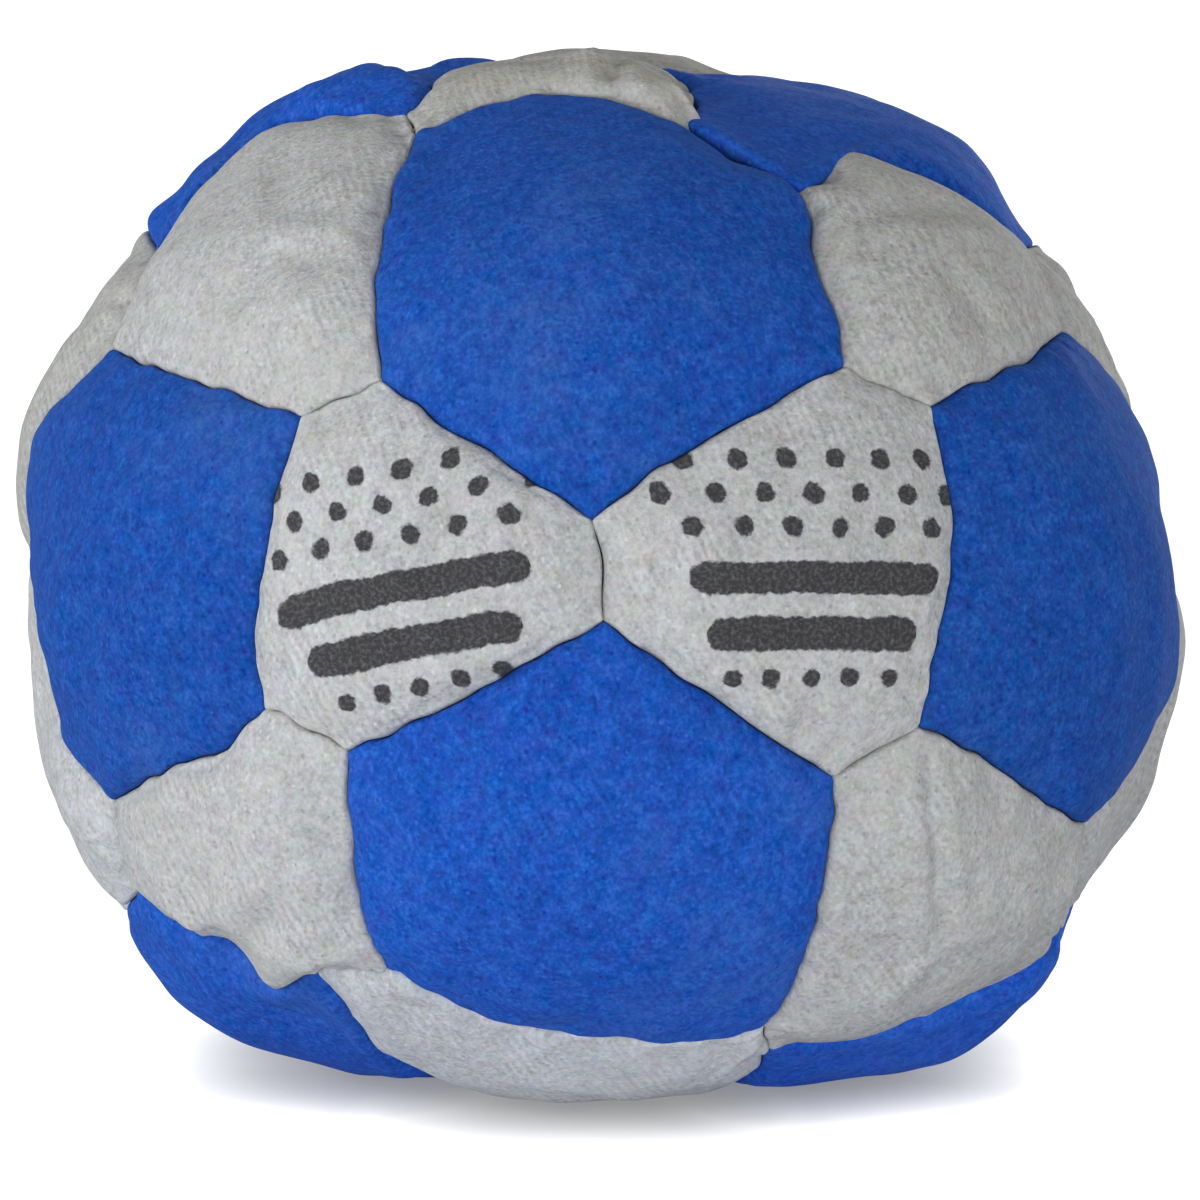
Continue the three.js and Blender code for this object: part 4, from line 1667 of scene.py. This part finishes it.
STAMPS: dict[str, Stamp] = {
    "grey_front_left": Stamp(14.0, 0.1, -0.3),
    "grey_front_right": Stamp(-3.0, 0.3, 0.2),
}
MARKS: tuple[Mark, ...] = (
    Mark(4.3, 11.6, 0.86, 2.06),
    Mark(2.9, 13.6, 0.86, 2.06, 0.5),
    Mark(1.5, 12.4, 0.86, 2.06),
    Mark(-0.6, 11.0, 1.35),
    Mark(-2.9, 9.4, 1.35),
    Mark(-4.7, 8.4, 0.80, 1.70, 0.5),
)


@dataclass(frozen=True)
class StampedInk:
    """The mask of the stamp's ink, with slightly ragged edges and thin spots, in millimetres."""

    marks: tuple[Mark, ...] = MARKS
    ragged: float = 0.42
    ragged_scale: float = 2.6
    thin: float = 0.6
    thin_scale: float = 5.5
    cover: float = 0.97
    soft_edge: float = 0.05

    def _mark(
        self, board: NodeBoard, mark: Mark, parts: bpy.types.bpy_prop_collection, ragged: object
    ) -> bpy.types.NodeSocket:
        """The mask of one mark.

        Args:
            board: The group's board.
            mark: The mark.
            parts: The sockets of the place under the stamp, across and along.
            ragged: The socket of the edge's raggedness.

        Returns:
            The mask.
        """
        up = board.less(parts[1], mark.height)
        wide = board.sum_up("ABSOLUTE", parts[0])
        if mark.pitch:
            cell = board.plus(board.sum_up("DIVIDE", parts[0], mark.pitch), mark.slip)
            across = board.times(board.less(board.sum_up("FRACT", cell), 0.5), mark.pitch)
        else:
            past = board.less(wide, (mark.width - mark.thick) / 2)
            across = board.sum_up("MAXIMUM", past, 0.0)
        square = board.plus(board.times(across, across), board.times(up, up))
        away = board.plus(board.sum_up("SQRT", square), ragged)
        edge = mark.thick / 2
        shape = board.levels(away, edge - self.soft_edge, edge + self.soft_edge, 1.0, 0.0)
        return board.times(shape, board.sum_up("LESS_THAN", wide, mark.width / 2))

    def make(self) -> bpy.types.NodeTree:
        """Makes the node group.

        Returns:
            The group, which puts out the mask of the ink.
        """
        group = bpy.data.node_groups.new("Stamped ink", "ShaderNodeTree")
        group.interface.new_socket("Ink", in_out="OUTPUT", socket_type="NodeSocketFloat")
        board = NodeBoard(group)
        place = board.put("Attribute", attribute_name="stamp").outputs["Vector"]
        parts = board.put("SeparateXYZ", {0: place}).outputs
        ragged = board.times(board.noise(place, self.ragged_scale, 3), self.ragged)
        first, *others = [self._mark(board, mark, parts, ragged) for mark in self.marks]
        for other in others:
            first = board.sum_up("MAXIMUM", first, other)
        thin = board.plus(self.cover, board.noise(place, self.thin_scale, 2), self.thin)
        ink = board.held(board.times(first, thin))
        board.put("NodeGroupOutput", {"Ink": ink})
        return group


@dataclass(frozen=True)
class SuedeFinish:
    """A dyed suede: its colours, how strongly its nap varies, and its soft sheen.

    The colours and amounts are inputs of the nap's node group, under the same names.
    """

    COLOURS: ClassVar[tuple[str, ...]] = ("Base", "Raised", "Laid", "Seam", "Dust_and_sheen")
    AMOUNTS: ClassVar[tuple[str, ...]] = (
        "Mottle",
        "Grain",
        "Specks",
        "Tint",
        "Rows",
        "Dusting_and_sheen",
        "Dirt_and_shade",
    )

    name: str
    base: tuple[float, float, float]
    raised: tuple[float, float, float]
    laid: tuple[float, float, float]
    # seam: the dark colour near the seams, painted shade between the panels with dirt.
    seam: tuple[float, float, float]
    dust_and_sheen: tuple[float, float, float]
    mottle: float
    grain: float
    specks: float
    tint: float
    rows: float
    dusting_and_sheen: float
    dirt_and_shade: float
    sheen: float
    sheen_tint: tuple[float, float, float]
    sheen_roughness: float = 0.45
    specular: float = 0.1
    ink: tuple[float, float, float] = (54, 53, 56)
    through_ink: float = 0.03
    bump: float = 0.4
    nap_height: float = 0.16 * MM

    def make(
        self, nap: bpy.types.NodeTree, stamp: bpy.types.NodeTree | None = None
    ) -> bpy.types.Material:
        """Makes the material.

        Args:
            nap: The shared node group of the suede's nap.
            stamp: The node group of the stamped ink, where the panel has a stamp.

        Returns:
            The material.
        """
        material, board = new_material(f"{self.name}, stamped" if stamp else self.name)
        values = {name: linear(*getattr(self, name.lower())) for name in self.COLOURS}
        values |= {name: getattr(self, name.lower()) for name in self.AMOUNTS}
        look = board.put("Group", node_tree=nap)
        board.feed(look, values)
        colour = look.outputs["Color"]
        if stamp:
            ink = board.put("Group", node_tree=stamp).outputs["Ink"]
            inked = board.blend(self.through_ink, linear(*self.ink), colour)
            colour = board.blend(ink, colour, inked)
        inputs = {"Height": look.outputs["Height"], "Strength": self.bump}
        bump = board.put("Bump", inputs | {"Distance": self.nap_height}).outputs[0]
        inputs = {"Base Color": colour, "Roughness": look.outputs["Roughness"], "Normal": bump}
        inputs |= {"Specular IOR Level": self.specular, "Sheen Weight": self.sheen}
        inputs |= {"Sheen Roughness": self.sheen_roughness, "Sheen Tint": linear(*self.sheen_tint)}
        board.feed(board.shader, inputs)
        return material


BLUE_SUEDE = SuedeFinish(
    "Blue suede",
    base=(30, 83, 179),
    raised=(52, 113, 211),
    laid=(16, 49, 135),
    # Painted shade with dirt at the seams.
    seam=(14, 34, 92),
    # Dust with painted sheen, a greyish blue.
    dust_and_sheen=(74, 106, 164),
    mottle=0.35,
    grain=1.0,
    specks=0.6,
    tint=0.02,
    rows=0.12,
    dusting_and_sheen=0.35,
    dirt_and_shade=0.45,
    sheen=0.07,
    sheen_tint=(130, 166, 226),
)
GREY_SUEDE = SuedeFinish(
    "Grey suede",
    base=(185, 186, 185),
    raised=(213, 215, 217),
    laid=(147, 146, 143),
    # Painted shade with dirt at the seams.
    seam=(128, 121, 111),
    # Dust with painted sheen, a yellowish grey.
    dust_and_sheen=(172, 170, 158),
    mottle=0.35,
    grain=0.9,
    specks=0.6,
    tint=0.05,
    rows=0.20,
    dusting_and_sheen=0.45,
    dirt_and_shade=0.30,
    sheen=0.02,
    sheen_tint=(226, 226, 226),
)


@dataclass(frozen=True)
class PlainFinish:
    """A grainy finish in two colours, for the thread and the sand."""

    name: str
    first: tuple[float, float, float]
    second: tuple[float, float, float]
    scale: float
    roughness: float
    bump: float = 0.5
    grain_height: float = 0.2 * MM
    specular: float = 0.2

    def make(self) -> bpy.types.Material:
        """Makes the material.

        Returns:
            The material.
        """
        material, board = new_material(self.name)
        place = board.put("TexCoord").outputs["Object"]
        grain = board.held(board.plus(board.noise(place, self.scale, 3), 0.5))
        colour = board.blend(grain, linear(*self.first), linear(*self.second))
        inputs = {"Height": grain, "Strength": self.bump, "Distance": self.grain_height}
        inputs = {"Base Color": colour, "Normal": board.put("Bump", inputs).outputs[0]}
        inputs |= {"Roughness": self.roughness, "Specular IOR Level": self.specular}
        board.feed(board.shader, inputs)
        return material


THREAD = PlainFinish("Sewing thread", (44, 46, 56), (86, 88, 98), 5200, 0.7)
SAND = PlainFinish("Loose sand", (150, 124, 92), (214, 196, 164), 2400, 0.95)


@dataclass(frozen=True)
class Lamp:
    """A soft rectangular lamp that looks at the bag, with its place and size in metres."""

    name: str
    place: tuple[float, float, float]
    width: float
    height: float
    watts: float
    colour: tuple[float, float, float] = (0.97, 0.99, 1.03)

    def hang(self, target: Vector) -> None:
        """Adds the lamp to the scene.

        Args:
            target: The place that it looks at.
        """
        light = bpy.data.lights.new(self.name, "AREA")
        light.shape = "RECTANGLE"
        light.size = self.width
        light.size_y = self.height
        light.energy = self.watts
        light.color = self.colour
        lamp = bpy.data.objects.new(self.name, light)
        lamp.location = self.place
        lamp.rotation_euler = (target - lamp.location).to_track_quat("-Z", "Y").to_euler()
        bpy.context.collection.objects.link(lamp)


@dataclass(frozen=True)
class Studio:
    """The plain pale floor, the soft lamps, the surrounding white and the camera.

    The camera looks at a place a little below and to the left of the bag's middle. To the
    camera the floor shows little of the light that falls on it, and a white glow of its own,
    with a painted shadow that darkens it to the shade floor within the shade's reach of the bag.
    """

    elevation: float = 10.0
    distance: float = 0.36
    lens: float = 246.2
    sensor_width: float = 36.0
    clip_start: float = 0.01
    look_at: tuple[float, float, float] = (0.0, 0.0, 22.3 * MM)
    lower: float = 2.15 * MM
    leftwards: float = 0.09 * MM
    surround: float = 0.30
    sky: tuple[float, float, float] = (1.0, 0.985, 0.95)
    floor_size: float = 4.0
    floor_colour: float = 0.92
    floor_shown: float = 0.45
    floor_glow: float = 0.92
    shade_reach: float = 2.7 * MM
    shade_floor: float = 0.24
    lamps: tuple[Lamp, ...] = (
        Lamp("Left softbox", (-0.40, -0.62, 0.06), 0.50, 0.11, 0.5),
        Lamp("Front softbox", (0.0, -0.75, 0.06), 0.50, 0.11, 2.75),
        Lamp("Side softbox", (-0.72, -0.10, 0.20), 0.36, 0.36, 2.4),
        Lamp("Far softbox", (0.72, -0.10, 0.20), 0.36, 0.36, 0.6),
        Lamp("Back softbox", (0.30, 0.70, 0.08), 0.60, 0.11, 2.4),
    )

    def build(self) -> None:
        """Builds the floor, the world, the lamps and the camera."""
        self._floor()
        self._world()
        for lamp in self.lamps:
            lamp.hang(Vector(self.look_at))
        self._camera()
        bpy.context.scene.view_settings.view_transform = "Standard"

    def _camera(self) -> None:
        """Sets up the camera."""
        angle = math.radians(self.elevation)
        towards = Vector((0, -math.cos(angle), math.sin(angle)))
        upwards = Vector((0, math.sin(angle), math.cos(angle)))
        sideways = Vector((1, 0, 0))
        aim = Vector(self.look_at) - upwards * self.lower - sideways * self.leftwards
        camera = bpy.data.objects.new("Camera", bpy.data.cameras.new("Camera"))
        camera.data.lens = self.lens
        camera.data.sensor_width = self.sensor_width
        camera.data.clip_start = self.clip_start
        camera.location = aim + towards * self.distance
        camera.rotation_euler = (-towards).to_track_quat("-Z", "Y").to_euler()
        bpy.context.collection.objects.link(camera)
        bpy.context.scene.camera = camera

    def _floor(self) -> None:
        """Lays the pale floor, lit softly, whose white glow carries a painted shadow where the bag
        stands.
        """
        bpy.ops.object.select_all(action="DESELECT")
        bpy.ops.mesh.primitive_plane_add(size=self.floor_size)
        floor = bpy.context.object
        floor.name = "Floor"
        material, board = new_material("Pale floor")
        board.tree.nodes.remove(board.shader)
        seen = board.put("LightPath").outputs["Is Camera Ray"]
        shade = board.levels(seen, 0.0, 1.0, self.floor_colour, self.floor_shown)
        matt = board.put("BsdfDiffuse", {"Color": shade}).outputs[0]
        # Painted shadow: ambient occlusion darkens the floor's glow near the bag.
        inputs = {"Distance": self.shade_reach}
        clear = board.put("AmbientOcclusion", inputs, samples=32).outputs["AO"]
        clear = board.levels(clear, 0.0, 1.0, self.shade_floor, 1.0)
        strength = board.times(board.times(seen, clear), self.floor_glow)
        glow = board.put("Emission", {"Strength": strength}).outputs[0]
        both = board.put("AddShader", {0: matt, 1: glow}).outputs[0]
        board.feed(board.tree.nodes["Material Output"], {"Surface": both})
        floor.data.materials.append(material)

    def _world(self) -> None:
        """Makes the surroundings white to the camera and to gloss, and plainer as light."""
        world = bpy.data.worlds.new("Studio white")
        bpy.context.scene.world = world
        world.use_nodes = True
        board = NodeBoard(world.node_tree)
        rays = board.put("LightPath").outputs
        seen = board.sum_up("MAXIMUM", rays["Is Camera Ray"], rays["Is Glossy Ray"])
        seen = board.sum_up("MAXIMUM", seen, rays["Is Transmission Ray"])
        strength = board.levels(seen, 0.0, 1.0, self.surround, 1.0)
        tone = board.blend(seen, (*self.sky, 1.0), (1.0, 1.0, 1.0, 1.0))
        board.feed(board.tree.nodes["Background"], {"Color": tone, "Strength": strength})


class Footbag:
    """The whole bag: its panels, its thread and its sand, in the order of the work."""

    def __init__(self) -> None:
        """Reads the net of seams from the CAD parts."""
        self.form = FilledForm()
        self.cut = PanelCut()
        self.net = SeamNet(self.form)
        self.shaping = Shaping(self.net)
        self.panels = [SuedePanel(outline, self.net, self.cut) for outline in self.net.outlines]

    def sew(self) -> None:
        """Cuts, fills, folds, shapes and thickens all panels, and attaches each to the body."""
        for panel in self.panels:
            panel.cut_flat()
            panel.lay_on()
        FillingPress().press(self.panels)
        nap = SuedeNap().make()
        finishes = {Suede.BLUE: BLUE_SUEDE.make(nap), Suede.GREY: GREY_SUEDE.make(nap)}
        stamped = GREY_SUEDE.make(nap, StampedInk().make())
        for panel in self.panels:
            panel.turn_in()
            panel.finish_fold()
            stamp = STAMPS.get(panel.outline.place_key)
            if stamp:
                stamp.lay(panel)
            self.shaping.shape_panel(panel)
            panel.thicken()
            finish = stamped if stamp else finishes[panel.outline.suede]
            panel.piece.data.materials.append(finish)
            self._declare(panel)

    @staticmethod
    def _declare(panel: SuedePanel) -> None:
        """Attaches a finished panel to the bag's body, hides the CAD node that it takes the place
        of, and logs the size of its flat cut.

        Args:
            panel: The panel.
        """
        piece = panel.piece
        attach(piece, BODY)
        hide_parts(panel.outline.node)
        width, length, area = panel.flat_size()
        LOG.info("%s: %.1f x %.1f mm flat", piece.name, width / MM, length / MM)

    def lay_thread(self) -> None:
        work = SewingThread(self.net, self.cut, ThreadLay())
        finish = THREAD.make()
        for outline in work.blues:
            piece = work.spin(outline, self.shaping)
            piece.data.materials.append(finish)
            last = outline.place == LAST_SEWN
            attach(piece, BODY)
            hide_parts(CLOSING_THREAD if last else f"thread_round_{outline.place}")
            LOG.info("%s: %d faces", piece.name, len(piece.data.polygons))

    def fill(self) -> None:
        heap = SandFill().pour(self.shaping)
        heap.data.materials.clear()
        heap.data.materials.append(SAND.make())
        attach(heap, BODY)
        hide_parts(SAND_NODE)
        LOG.info("%s: %d faces", heap.name, len(heap.data.polygons))


def main() -> None:
    """Builds the bag and its studio, and reports each piece."""
    logging.basicConfig(level=logging.INFO, format="%(name)s: %(message)s")
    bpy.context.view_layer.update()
    Studio().build()
    bag = Footbag()
    bag.fill()
    bag.sew()
    bag.lay_thread()


if __name__ == "__main__":
    main()
